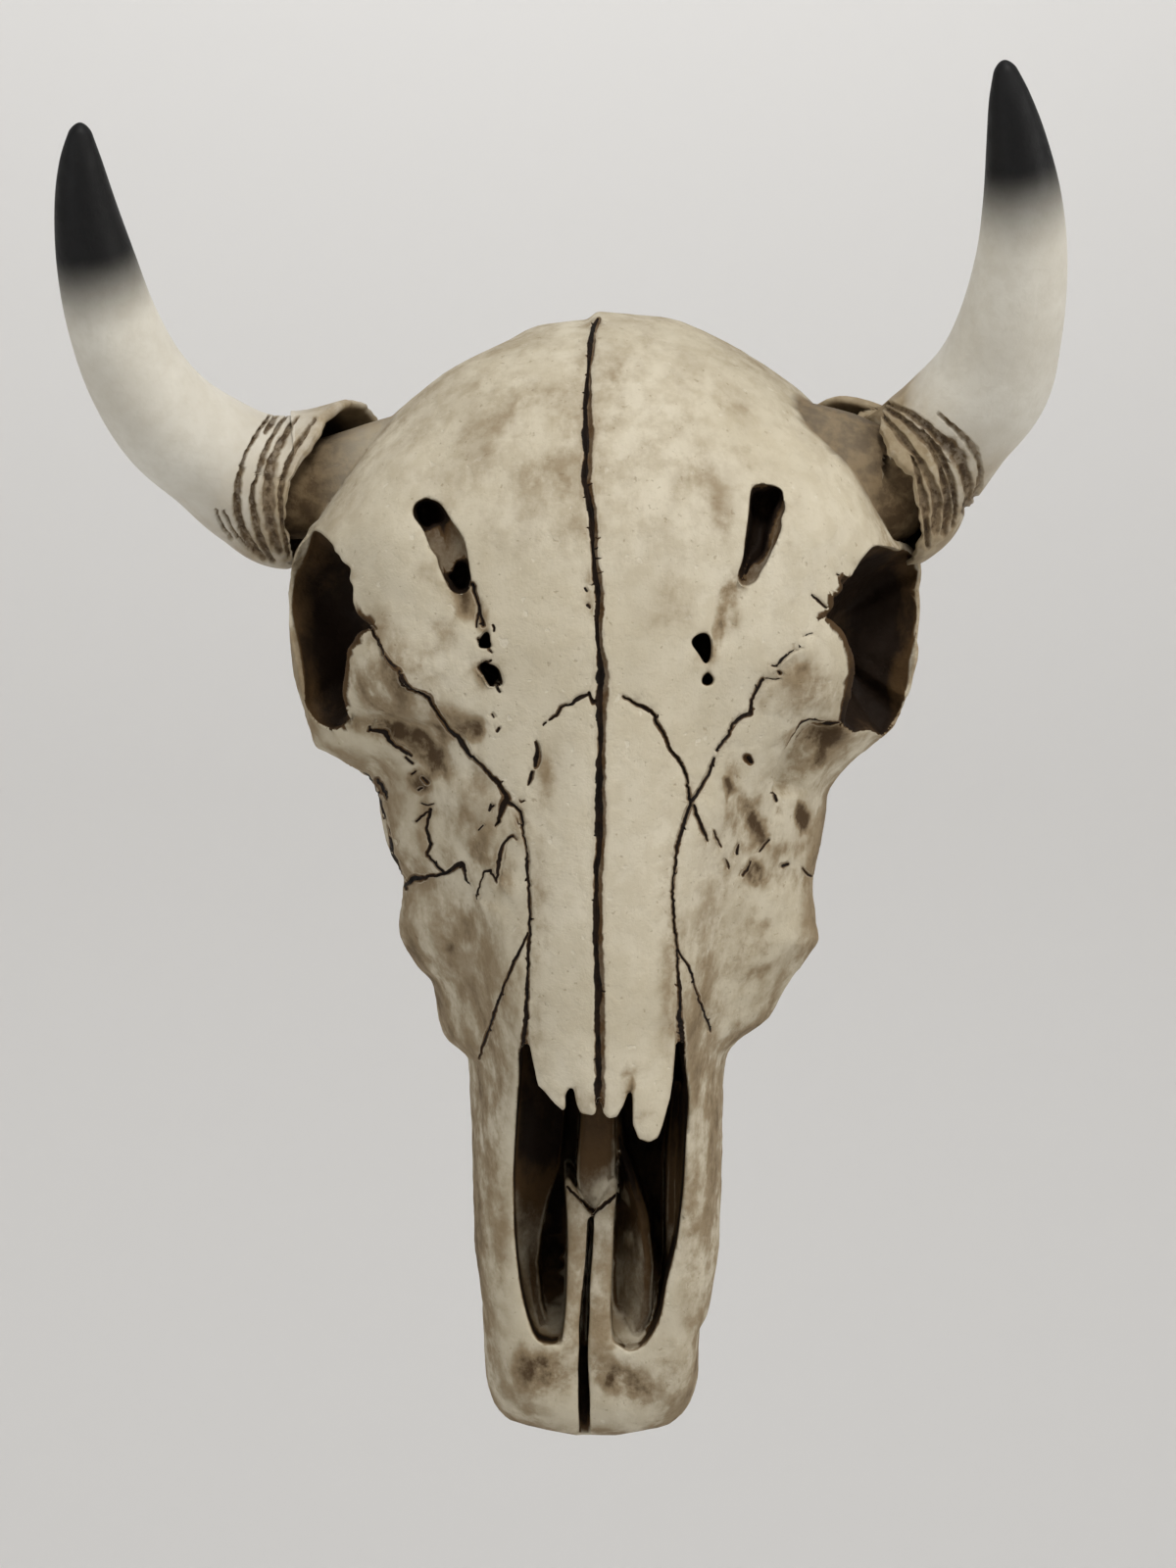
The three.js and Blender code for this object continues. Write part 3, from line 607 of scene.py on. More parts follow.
def orbit_ring(side, per_stretch=2):
    """The opening's outline, on the slanting plane of the outer rim or on the skin where that is behind."""
    centre, (nx, nd) = ORBITS[side]["centre"], ORBITS[side]["outward"]
    pixels = rounded(ORBITS[side]["opening"], per_stretch)
    k = (pixels[:, 0] - FRAME_PIXELS[0] / 2) / FOCAL_PIXELS
    away = -CAMERA_MM[1]
    plane = (nx * (k * away + CAMERA_MM[0] - centre[0]) - nd * centre[1]) / (nx * k - nd)
    depth = plane
    for _ in range(SETTLE_ROUNDS):
        at = seen_at(pixels, depth)
        depth = np.minimum(plane, skin_depth(at[:, 0], at[:, 2]))
    return seen_at(pixels, depth)


def sight_from(ring):
    """The direction to the camera from each point of a ring."""
    sight = np.array(CAMERA_MM) - ring
    return sight / np.linalg.norm(sight, axis=1, keepdims=True)


def socket(side, wall=0):
    """The hollow of a socket, or with a wall the body that leaves this much bone round its outer side."""
    ring = orbit_ring(side)
    nx, nd = ORBITS[side]["outward"]
    outward = np.array([nx, -nd, 0])
    centre = ring.mean(0)
    sight = sight_from(ring)
    straight = sight.mean(0)
    out = outward * SOCKET_INWARD + straight * (1 - SOCKET_INWARD)
    off = ring - centre
    if wall:
        outer = smooth_step(-6, 6, off[:, :1] * math.copysign(1, nx))
        wider = wall * outer + SHELL_INSIDE * (outer - 1)
        off = off * (1 + wider / np.linalg.norm(off, axis=1, keepdims=True))
    layers = [centre + off * size + out * (moved - wall * smooth_step(0, -5, moved))
              for moved, size in SOCKET_LAYERS]
    if not wall:
        layers = [ring + sight * clear for clear in SIGHT_CLEAR] + layers
    return skin_mesh("socket", layers)


def socket_front(side):
    """All that stands before the outer side of a socket's opening, to be cleared away."""
    ring = orbit_ring(side)
    sign = math.copysign(1, ORBITS[side]["outward"][0])
    outer = smooth_step(-2, 8, (ring - ring.mean(0))[:, :1] * sign)
    sight = sight_from(ring)
    layers = [ring + sight * ahead + outer * (sign * wide, 0, 0) for ahead, wide in FRONT_LAYERS]
    return skin_mesh("socket_front", layers)


def socket_rim(side):
    """A thin raised lip on the outer side of the opening, that runs into the hollow towards the nose."""
    ring = orbit_ring(side, 1)
    nx, nd = ORBITS[side]["outward"]
    outward = np.array([nx, -nd, 0])
    centre = ring.mean(0)
    ahead = np.roll(ring, -1, 0) - np.roll(ring, 1, 0)
    ahead = ahead + np.roll(ahead, 1, 0) + np.roll(ahead, -1, 0)
    ahead /= np.linalg.norm(ahead, axis=1, keepdims=True)
    off = np.cross(ahead, outward)
    off *= np.sign((off * (ring - centre)).sum(1, keepdims=True))
    outer = smooth_step(-6, 6, (ring - centre)[:, 0] * math.copysign(1, nx))
    worn = 1 + 0.18 * np.sin(np.arange(len(ring)) * 0.9) * np.cos(np.arange(len(ring)) * 0.37)
    high = 0.7 + 0.3 * smooth_step(-4, 16, ring[:, 2])
    radius = RIM_RADIUS * worn * (0.25 + 0.75 * outer) * high
    turn = np.linspace(0, 2 * math.pi, RIM_SIDES, endpoint=False)[None, :, None]
    sunk = ring + off * (radius * 0.55 - RIM_SINKS * (1 - outer))[:, None]
    tube = sunk[:, None] + radius[:, None, None] * (
        off[:, None] * np.cos(turn) + outward[None, None] * (np.sin(turn) - 0.5))
    count, n = len(ring), RIM_SIDES
    faces = [(i * n + j, i * n + (j + 1) % n, (i + 1) % count * n + (j + 1) % n, (i + 1) % count * n + j)
             for i in range(count) for j in range(n)]
    return closed_mesh("rim", tube.reshape(-1, 3), faces)


for side in ("left", "right"):
    frames, radius, reach = horn_path(side)
    s = np.linspace(CORE_START, CORE_LENGTH, 30)
    thick = CORE_RADIUS + CORE_ROOT * smooth_step(-8, -24, s) + CORE_SWELL[side] * smooth_step(9, 0, s)
    combine(skull, skin_mesh("core", bar_rings(frames, s, thick, CORE_SIDES)), "UNION", "core")
    combine(skull, socket_front(side), "DIFFERENCE")
    combine(skull, socket_rim(side), "UNION")
    combine(skull, socket(side, SOCKET_WALL), "UNION")
    combine(skull, socket(side), "DIFFERENCE", "socket")

# Brow slots, each a shallow brown trough with deep holes in it, and the small holes below them
TROUGHS = [
    [(421, 520), (423, 514), (428, 511), (435, 508), (441, 510), (447, 512), (451, 516), (456, 523),
     (462, 532), (468, 541), (473, 550), (476, 560), (478, 571), (480, 582), (481, 592), (478, 600),
     (473, 603), (467, 604), (461, 602), (457, 596), (452, 588), (448, 578), (446, 569), (440, 562),
     (436, 554), (433, 546), (429, 538), (424, 532), (421, 527)],
    [(766, 501), (769, 496), (778, 494), (788, 496), (797, 499), (799, 508), (801, 520), (797, 530),
     (798, 538), (795, 547), (792, 556), (787, 566), (783, 575), (777, 583), (772, 592), (764, 596),
     (757, 594), (756, 582), (758, 572), (759, 560), (761, 545), (763, 530), (764, 515)],
]
DEEP_HOLES = [
    [(425, 519), (430, 513), (438, 511), (446, 514), (452, 521), (455, 529), (449, 534), (442, 534),
     (438, 538), (431, 538), (427, 530)],
    [(464, 576), (470, 573), (477, 575), (479, 584), (480, 593), (476, 601), (469, 603), (463, 600),
     (461, 593), (457, 588), (457, 584), (463, 585)],
    [(768, 502), (779, 502), (795, 498), (796, 507), (791, 518), (788, 530), (784, 542), (782, 552),
     (779, 564), (771, 572), (765, 576), (761, 585), (758, 589), (758, 575), (760, 560), (763, 540),
     (765, 520)],
    [(492, 648), (496, 643), (500, 642), (500, 650), (501, 657), (504, 657), (502, 662), (496, 661),
     (488, 660), (489, 653)],
    [(489, 679), (492, 676), (496, 674), (498, 677), (504, 679), (509, 684), (511, 692), (513, 699),
     (511, 702), (507, 696), (503, 700), (499, 698), (495, 691), (492, 685)],
    [(705, 654), (710, 649), (717, 646), (723, 648), (725, 655), (726, 663), (725, 671), (722, 677),
     (718, 677), (714, 669), (709, 662)],
    [(716, 693), (719, 688), (723, 685), (727, 690), (729, 693), (726, 698), (719, 699), (717, 697)],
]
TROUGH_DEEP = 3.6
HOLE_DEEP = 13
BROW_CLEAR = 14
BROW_SKIN = 90
BROW_ROUNDS = 4


def brow_cut(pixels, deep, narrowing):
    """A cut into the brow along the lines of sight, from well in front of the skin to a depth below it."""
    ring = rounded(pixels, 2)
    middle = ring.mean(0)
    skin = BROW_SKIN
    for _ in range(BROW_ROUNDS):
        at = seen_at(ring, skin)
        skin = skin_depth(at[:, 0], at[:, 2])
    layers = [seen_at(ring, skin + BROW_CLEAR), seen_at(ring, skin - deep * 0.5),
              seen_at(middle + (ring - middle) * narrowing, skin - deep)]
    return skin_mesh("brow_cut", layers)


for pixels in TROUGHS:
    combine(skull, brow_cut(pixels, TROUGH_DEEP, 0.86), "DIFFERENCE", "trough")
for pixels in DEEP_HOLES:
    combine(skull, brow_cut(pixels, HOLE_DEEP, 0.7), "DIFFERENCE", "hole")

# Keyhole in the flat back: a round way in for a screw's head and a slot above it for the shank
KEYHOLE = {"z": 30, "entry": 5.5, "shank": 2.6, "rise": 11, "start": -2, "lip": 3, "deep": 9.5}


def upright_slot(radius, rise):
    turn = np.linspace(0, math.pi, 13)
    top = np.stack([radius * np.cos(turn), KEYHOLE["z"] + rise + radius * np.sin(turn)], -1)
    low = np.stack([-radius * np.cos(turn), KEYHOLE["z"] - radius * np.sin(turn)], -1)
    return np.concatenate([top, low])


for radius, rise, rear, front in (
        (KEYHOLE["entry"], 0, KEYHOLE["start"], KEYHOLE["deep"]),
        (KEYHOLE["shank"], KEYHOLE["rise"], KEYHOLE["start"], KEYHOLE["deep"]),
        (KEYHOLE["entry"] - 0.5, KEYHOLE["rise"], KEYHOLE["lip"], KEYHOLE["deep"])):
    combine(skull, prism("keyhole", upright_slot(radius, rise), rear, front), "DIFFERENCE")

# One even skin over all of it, softened as a casting is
CAST_SOFTENING = 3
even = skull.modifiers.new("even", "REMESH")
even.mode = "VOXEL"
even.voxel_size = VOXEL_MM
soften = skull.modifiers.new("soften", "SMOOTH")
soften.factor = 0.5
soften.iterations = CAST_SOFTENING
bpy.context.view_layer.objects.active = skull
for change in ("even", "soften"):
    bpy.ops.object.modifier_apply(modifier=change)
print("skull cast", len(skull.data.vertices), "vertices", len(skull.data.polygons), "faces")


# Sutures, cracks and pits, drawn over the photograph's frame: depth in millimetres, blackness, and a line
# of places and half widths in pixels
MIDDLE_SEAM = [
    (611, 326, 2), (606, 335, 2.6), (604, 345, 2.8), (603, 355, 3), (602, 365, 2.8), (601, 376, 1.8),
    (601, 385, 2), (600, 395, 3), (600, 405, 3.4), (599, 415, 4), (600, 428, 4.2), (600, 440, 4.8),
    (600, 455, 4.2), (600, 467, 4), (599, 480, 3.8), (598, 490, 3.6), (600, 500, 3.8), (602, 510, 4),
    (604, 520, 4.2), (605, 530, 4), (606, 545, 4), (606, 560, 3.6), (607, 572, 3.2), (608, 582, 3.4),
    (610, 592, 3.8), (611, 602, 4.2), (612, 612, 4), (612, 622, 3.6), (611, 632, 3.4), (611, 650, 3),
    (613, 668, 3.6), (615, 682, 5), (615, 705, 5), (614, 722, 4), (614, 750, 3.6), (613, 790, 4),
    (613, 820, 4.4), (613, 855, 4.4), (611, 880, 4.2), (610, 898, 4), (610, 952, 4), (612, 1008, 4.2),
    (612, 1040, 4.6), (612, 1080, 4.4), (612, 1128, 4)]
SUTURES = [
    # dots beside the middle seam
    (0.5, 0.8, [(597, 600, 1.6), (599, 603, 2.2)]),
    (0.5, 0.8, [(600, 617, 2.6), (602, 620, 1.8)]),
    # the arcs where the nasal bones meet the brow
    (0.9, 0.95, [(608, 716, 2.6), (605, 718, 2.2), (602, 712, 2), (601, 707, 1.8)]),
    (0.8, 0.78, [(601, 709, 2.2), (596, 711, 3), (590, 713, 3.2), (585, 717, 2.2), (578, 720, 1.6)]),
    (0.9, 0.92, [(578, 719, 1.8), (572, 722, 2.8), (569, 728, 2.8), (563, 733, 2.4), (560, 735, 1.4)]),
    (0.5, 0.75, [(557, 737, 1.8), (554, 740, 1.6)]),
    (1.2, 1, [(546, 757, 1.2), (549, 765, 2.4), (548, 773, 3.2), (547, 780, 3.2), (546, 784, 1.5)]),
    (1.0, 1, [(543, 788, 1.6), (541, 795, 2.2), (539, 801, 1.2)]),
    (1.0, 1, [(636, 711, 1.8), (640, 713, 2.1), (646, 717, 2.3), (652, 720, 2.7), (658, 722, 2.9),
              (664, 725, 2.5), (668, 729, 2.1), (669, 735, 2.5), (672, 741, 2.5), (677, 748, 2.5),
              (681, 757, 2.7), (682, 763, 2.5), (687, 769, 2.4), (694, 777, 2.4), (698, 784, 2.1),
              (701, 793, 1.9), (702, 803, 1.9), (704, 813, 2.1), (706, 817, 2.8)]),
    # the nasal bones' borders with the upper jaw, and the branches off them
    (1.0, 0.95, [(705, 819, 2.4), (703, 828, 2.5), (699, 838, 2.8), (695, 849, 2.5), (692, 860, 2.4),
                 (690, 875, 2.1), (688, 890, 1.9), (686, 910, 1.8), (687, 930, 1.8), (689, 950, 1.9),
                 (691, 968, 2), (692, 992, 2), (693, 1010, 2.2), (694, 1025, 3), (694, 1040, 3),
                 (695, 1058, 3.2), (695, 1075, 4.2), (694, 1086, 5)]),
    (0.6, 0.9, [(691, 968, 1.6), (702, 985, 1.8), (709, 1005, 1.8), (716, 1028, 1.6), (721, 1040, 1.5),
                (725, 1053, 1.1)]),
    (0.8, 0.95, [(708, 822, 2.2), (711, 832, 2.1), (715, 842, 2.3), (719, 850, 2.2), (722, 858, 1.5)]),
    (1.0, 0.85, [(519, 820, 3), (526, 824, 2.4), (531, 830, 2.8), (533, 838, 2.5), (533, 848, 2.1),
                 (536, 860, 1.9), (538, 872, 2)]),
    (1.0, 0.95, [(538, 872, 2), (538, 885, 2.1), (539, 900, 1.9), (540, 915, 2), (541, 935, 2),
                 (540, 952, 2.1), (539, 970, 2), (539, 992, 2.1), (538, 1010, 2.3), (537, 1030, 2.7),
                 (536, 1045, 3.1), (535, 1060, 3.8), (534, 1073, 5)]),
    (0.7, 0.95, [(539, 952, 1.8), (530, 972, 1.9), (520, 992, 1.9), (512, 1012, 1.9), (505, 1032, 2.1),
                 (499, 1050, 2.3), (493, 1066, 2.2), (489, 1080, 1.4)]),
    # the tear bone's border on the left, with its blot and spur
    (1.1, 1, [(379, 641, 1.7), (384, 650, 1.9), (389, 660, 2), (394, 671, 2.3), (399, 678, 2.5),
              (405, 682, 3), (409, 686, 3.5), (411, 694, 3.4), (415, 700, 2.5), (422, 704, 2.1),
              (430, 707, 2.7), (437, 710, 3.1), (441, 718, 2.5), (447, 728, 2.3), (452, 736, 2.5),
              (457, 743, 2.1), (463, 749, 2.3), (469, 753, 2.5), (472, 760, 2.8), (477, 768, 2.8),
              (482, 774, 2.5), (490, 780, 2.3), (497, 787, 2.5), (502, 793, 2.7), (508, 798, 3.1),
              (513, 806, 3.4), (516, 813, 4.4)]),
    (1.2, 1, [(516, 815, 5.6), (513, 822, 4.4), (511, 830, 3), (508, 838, 2), (505, 843, 1)]),
    # the same on the right
    (0.9, 0.9, [(706, 816, 2.5), (711, 812, 2.3), (716, 804, 2.7), (719, 797, 2.8), (723, 790, 3),
                (726, 782, 2.7), (729, 774, 1.7)]),
    (0.9, 0.92, [(732, 766, 1.7), (737, 758, 2.1), (743, 752, 2.5), (746, 744, 2.5), (749, 738, 2.7),
                 (755, 733, 2.5), (761, 730, 2.7), (766, 729, 3.4), (766, 720, 2.3), (768, 712, 2.1),
                 (771, 705, 2.3), (775, 698, 2.5), (778, 693, 3)]),
    (0.4, 0.72, [(781, 692, 1.6), (792, 693, 1.6), (796, 692, 1)]),
    (0.4, 0.75, [(787, 679, 1.5), (793, 680, 1.7), (800, 672, 1.4), (808, 664, 1.4), (817, 660, 1.3)]),
    (0.8, 0.95, [(794, 685, 2), (796, 687, 2.2)]),
    (0.3, 0.62, [(819, 649, 1.2), (830, 646, 1)]),
    # the jagged border of the left upper jaw
    (1.0, 1, [(414, 902, 2.8), (419, 899, 3.6), (422, 896, 4.2), (428, 897, 2.9), (436, 894, 1.9),
              (447, 893, 1.8), (454, 891, 2.1), (460, 889, 2.6), (466, 884, 2.9), (471, 882, 2.9),
              (474, 889, 2.1)]),
    (0.7, 0.82, [(474, 889, 2.1), (476, 898, 1.7), (481, 908, 1.5), (485, 919, 1.6), (488, 908, 1.7),
                 (491, 898, 1.9), (494, 890, 1.9), (500, 888, 2.1), (503, 893, 1.9), (507, 900, 1.3)]),
    (0.8, 0.85, [(507, 899, 1.3), (508, 892, 2.1), (509, 880, 2.7), (511, 870, 2.5), (514, 860, 2.3),
                 (519, 855, 2.2), (523, 852, 2), (527, 857, 1.3)]),
    # the left cheek bone's border
    (0.9, 1, [(376, 746, 2.2), (377, 740, 1.7)]),
    (0.9, 1, [(378, 744, 1.6), (385, 745, 2.1), (394, 747, 2.9), (396, 753, 2.7), (402, 760, 2.4),
              (409, 764, 2.1), (416, 768, 2.1), (420, 771, 1.4)]),
    (0.7, 0.95, [(414, 773, 1.7), (421, 779, 2)]),
    (0.6, 0.85, [(420, 790, 2), (424, 787, 1.6)]),
    (0.8, 0.95, [(431, 794, 2.2), (436, 799, 2.4)]),
    (0.7, 0.82, [(427, 806, 2.2), (431, 804, 1.6)]),
    (0.5, 0.75, [(430, 820, 1.4), (438, 822, 2), (443, 820, 1.6)]),
    (0.8, 0.95, [(439, 826, 1.9), (437, 836, 1.9), (435, 845, 1.9), (437, 853, 2.1), (440, 860, 2.5),
                 (438, 866, 2), (435, 871, 2.1), (439, 876, 2.2), (446, 884, 2.3), (453, 891, 2.5)]),
    (0.7, 0.95, [(425, 838, 1.3), (431, 832, 2), (437, 828, 1.2)]),
    (0.5, 0.8, [(357, 777, 1.2), (368, 785, 1.4), (377, 794, 1.5), (383, 806, 1.6), (389, 820, 1.6),
                (395, 838, 1.7), (398, 855, 1.9)]),
    (0.8, 0.95, [(398, 855, 1.8), (400, 870, 2.3), (404, 880, 2.4), (409, 892, 2.1), (413, 902, 2.8),
                 (415, 907, 2.6)]),
    (1.2, 1, [(385, 796, 3), (388, 803, 3.5), (393, 810, 3.5), (395, 815, 2)]),
    # the fold of the right cheek
    (0.8, 1, [(856, 737, 1.2), (848, 737, 2), (842, 738, 2.4), (835, 737, 2.6), (829, 735, 2.2),
              (822, 737, 2.6), (817, 741, 2.8), (813, 748, 2.4), (806, 758, 2), (800, 769, 1.6),
              (796, 778, 1.8)]),
    (0.8, 1, [(797, 777, 1.2), (794, 783, 2.2), (792, 787, 3.6), (790, 793, 2.2), (792, 800, 1.6),
              (790, 808, 2.4), (792, 817, 1.6)]),
    # short cracks and pits on the right cheek
    (0.6, 0.95, [(729, 848, 1.3), (732, 857, 1.6), (736, 864, 1.2)]),
    (0.6, 0.95, [(741, 877, 1.4), (742, 881, 1.7), (744, 886, 1.7)]),
    (0.6, 0.95, [(752, 871, 1.6), (753, 867, 1.5), (754, 862, 1)]),
    (0.6, 0.95, [(758, 893, 1.8), (762, 888, 1.8), (766, 879, 1.1)]),
    (0.6, 0.92, [(775, 869, 1.2), (780, 863, 1.8), (785, 857, 1.5)]),
    (1.6, 1, [(763, 774, 4.6), (766, 778, 3.8)]),
    # crumbs round the small holes under the left slot, and the joint of the vomer with the prongs
    (0.6, 1, [(503, 638, 1.6), (504, 644, 1.2)]),
    (0.6, 1, [(488, 652, 2), (490, 656, 1.4)]),
    (0.6, 1, [(499, 663, 1.8), (502, 666, 1.2)]),
    (0.6, 1, [(489, 681, 2.6), (493, 687, 1.8)]),
    (0.6, 1, [(507, 700, 2), (510, 706, 1.4)]),
    (0.6, 1, [(495, 675, 1.6), (501, 674, 1.2)]),
    (0.8, 0.95, [(579, 1211, 1.8), (592, 1225, 2), (606, 1237, 2.2)]),
    (0.8, 0.95, [(630, 1218, 1.8), (618, 1228, 2), (606, 1237, 2.2)]),
    (0.8, 0.95, [(606, 1237, 2), (603, 1250, 1.8)]),
    # marks low on the right cheek and beside the right socket
    (0.8, 0.85, [(799, 884, 4), (804, 882, 2.6)]),
    (0.6, 0.82, [(819, 886, 1.8), (823, 891, 2.1), (828, 894, 1.7)]),
    (0.5, 0.85, [(854, 586, 1.5), (856, 587, 1.4)]),
    (0.7, 0.82, [(828, 607, 1.5), (834, 613, 2.4), (843, 620, 2)]),
    # small pits on the left cheek
    (0.6, 0.82, [(502, 729, 1.8), (504, 732, 1.6)]),
    (0.6, 0.9, [(507, 746, 1.9), (509, 743, 1.7)]),
    (0.5, 0.9, [(530, 817, 1.3), (532, 819, 1.5), (535, 817, 1.2)]),
    (0.6, 0.8, [(501, 821, 2), (499, 827, 2.2), (504, 822, 1.5)]),
    (0.4, 0.75, [(488, 847, 1.4), (493, 842, 1.7)]),
    (0.5, 0.82, [(408, 856, 2.1), (409, 860, 1.9)]),
    # the groove that runs down from the left slot, and its branch
    (1.0, 1, [(482, 596, 2.6), (485, 606, 2.8), (489, 617, 2.2), (490, 628, 2.2), (493, 638, 2.4)]),
    (0.6, 0.8, [(489, 618, 2), (487, 630, 2.6), (486, 640, 2)]),
]
WANDER_PIXELS = 0.4
WANDER_STEP = 2.6
SEAM_REACH = 3.0
SEAM_WIDTH = 1.0
SEAM_LEAN = -0.4
# The pixel row below which the middle seam has few side cracks
MANY_SPURS_ABOVE = 640


def drifting(count, every, low, high):
    """A seeded value that drifts between low and high along a line."""
    knots = chance.uniform(low, high, count // every + 3)
    return np.interp(np.arange(count) / every, np.arange(len(knots)), knots)


def along_line(line):
    """How far along a line each of its places is, in pixels."""
    return np.concatenate([[0], np.cumsum(np.linalg.norm(np.diff(line[:, :2], axis=0), axis=1))])


def worn_line(line, wander=WANDER_PIXELS, width=SEAM_WIDTH):
    """The line with a small seeded wander and an uneven width, as a carved suture has."""
    line = np.asarray(line, float)
    reach = along_line(line)
    count = max(3, int(reach[-1] / WANDER_STEP))
    places = np.linspace(0, reach[-1], count)
    flow = np.stack([np.interp(places, reach, line[:, k]) for k in range(3)], -1)
    flow[1:-1, :2] += chance.normal(0, wander, (count - 2, 2))
    flow[:, 2] *= width * drifting(count, 3, 0.78, 1.2)
    return flow


def thread_in(line, black, lean=0.0):
    """The dark thread inside a suture's brown band: thinner, and drifting from side to side."""
    ahead = np.gradient(line[:, :2], axis=0)
    ahead /= np.maximum(np.linalg.norm(ahead, axis=1, keepdims=True), 1e-6)
    across = np.stack([ahead[:, 1], -ahead[:, 0]], -1)
    thread = line.copy()
    aside = lean + drifting(len(line), 6, -0.35, 0.35) * (1 - abs(lean))
    thread[:, :2] += across * (line[:, 2] * aside)[:, None]
    thread[:, 2] *= black * drifting(len(line), 5, 0.36, 0.8)
    return thread


def spurs(line, gap, left_share, longest):
    """Short cracks that run out to either side of a suture, a seeded gap apart."""
    line = np.asarray(line, float)
    reach = along_line(line)
    made, place = [], chance.uniform(*gap)
    while place < reach[-1]:
        at = np.array([np.interp(place, reach, line[:, k]) for k in range(2)])
        half = np.interp(place, reach, line[:, 2])
        i = max(1, int(np.searchsorted(reach, place)))
        run = (line[i, :2] - line[i - 1, :2]) / (reach[i] - reach[i - 1])
        out = np.array([run[1], -run[0]]) * (-1 if chance.random() < left_share else 1)
        tip = at + out * (half + chance.uniform(0.5, longest)) + run * chance.uniform(-2, 2)
        made.append((0.5, 0.9, [(*(at + out * half * 0.4), chance.uniform(1.1, 1.9)), (*tip, 0.7)]))
        place += chance.uniform(*gap)
    return made


upper_seam = [place for place in MIDDLE_SEAM if place[1] < MANY_SPURS_ABOVE]
lower_seam = [place for place in MIDDLE_SEAM if place[1] >= MANY_SPURS_ABOVE]
spurred = spurs(upper_seam, (7, 20), 0.7, 3.6) + spurs(lower_seam, (30, 80), 0.5, 2.6)
for deep, black, line in SUTURES:
    spurred += spurs(line, (24, 70), 0.5, 2.2)
drawn = [(deep, black, 0, worn_line(line)) for deep, black, line in SUTURES + spurred]
drawn.append((1.5, 1, SEAM_LEAN, worn_line(MIDDLE_SEAM, wander=0.2, width=1.1)))
SEAM_LINES = [(deep, black, line, thread_in(line, black, lean)) for deep, black, lean, line in drawn]


def from_line(u, v, line):
    """How far each place is from a line of the photograph, counted in the line's own half widths."""
    best = np.full(len(u), 1e9)
    for (au, av, ah), (bu, bv, bh) in zip(line, line[1:]):
        du, dv = bu - au, bv - av
        t = np.clip(((u - au) * du + (v - av) * dv) / max(du * du + dv * dv, 1e-9), 0, 1)
        best = np.minimum(best, np.hypot(u - au - t * du, v - av - t * dv) / (ah + t * (bh - ah)))
    return best


def near_line(u, v, line):
    """Which places are near a line, and how far they are from it in its own half widths."""
    margin = line[:, 2].max() * SEAM_REACH
    low, high = line[:, :2].min(0) - margin, line[:, :2].max(0) + margin
    found = np.flatnonzero((u > low[0]) & (u < high[0]) & (v > low[1]) & (v < high[1]))
    return found, from_line(u[found], v[found], line)


# Soft swellings and hollows of the face: centre and half sizes in pixels, turn in degrees, and the push in
# millimetres
SWELLINGS = [
    ((398, 690), (36, 40), -30, 2.6), ((394, 740), (52, 11), 13, -3.4), ((438, 770), (28, 14), 35, -2.4),
    ((358, 772), (28, 9), 28, 1.2), ((846, 762), (22, 8), -8, -1.2),
    ((408, 838), (20, 50), -8, 1.3), ((470, 980), (30, 90), 0, -1.3), ((826, 690), (38, 44), 25, 2.2),
    ((745, 980), (30, 90), 0, -1.0), ((478, 622), (11, 26), -22, -1.3), ((748, 606), (13, 26), 30, -1.6),
    ((735, 645), (8, 26), 14, -1.0), ((483, 747), (12, 14), 0, -1.3), ((767, 836), (10, 28), -22, -0.8),
    ((817, 834), (10, 20), -10, -0.9), ((500, 720), (36, 50), -20, -0.9), ((716, 740), (30, 46), 20, -0.9),
    ((556, 770), (20, 60), 0, -0.7), ((700, 900), (16, 70), 0, -0.6), ((526, 900), (14, 60), 0, -0.5),
    ((575, 1408), (22, 20), 10, -0.8), ((634, 1412), (30, 14), 25, -0.9), ((438, 470), (34, 30), 0, -0.7),
    ((772, 460), (36, 30), 0, -0.7), ((404, 560), (28, 60), -20, 0.9), ((825, 560), (26, 60), 20, 0.9),
]

# Steps between two bones: a line in pixels, the drop on its right-hand side in millimetres, and how far that
# fades, in pixels
LEDGES = [
    ([(791, 816), (791, 800), (791, 788), (797, 777), (806, 758), (817, 741), (824, 736), (838, 737),
      (856, 737)], 4.2, 38),
    ([(379, 641), (399, 678), (411, 694), (437, 710), (457, 743), (482, 774), (508, 798), (516, 813)],
     0.9, 40),
    ([(706, 816), (723, 790), (746, 744), (766, 726), (778, 693), (817, 660)], 0.7, 40),
    ([(357, 777), (377, 794), (389, 820), (398, 855), (404, 880), (413, 902)], 1.3, 22),
    ([(414, 902), (454, 891), (471, 882), (485, 918), (500, 887), (507, 899), (511, 870), (523, 852)],
     0.5, 50),
]


def in_ellipse(u, v, centre, half, turn):
    """Nought at the middle of a turned ellipse of the photograph and one on its edge, by the square."""
    c, s = math.cos(math.radians(turn)), math.sin(math.radians(turn))
    du, dv = u - centre[0], v - centre[1]
    return ((du * c + dv * s) / half[0]) ** 2 + ((dv * c - du * s) / half[1]) ** 2


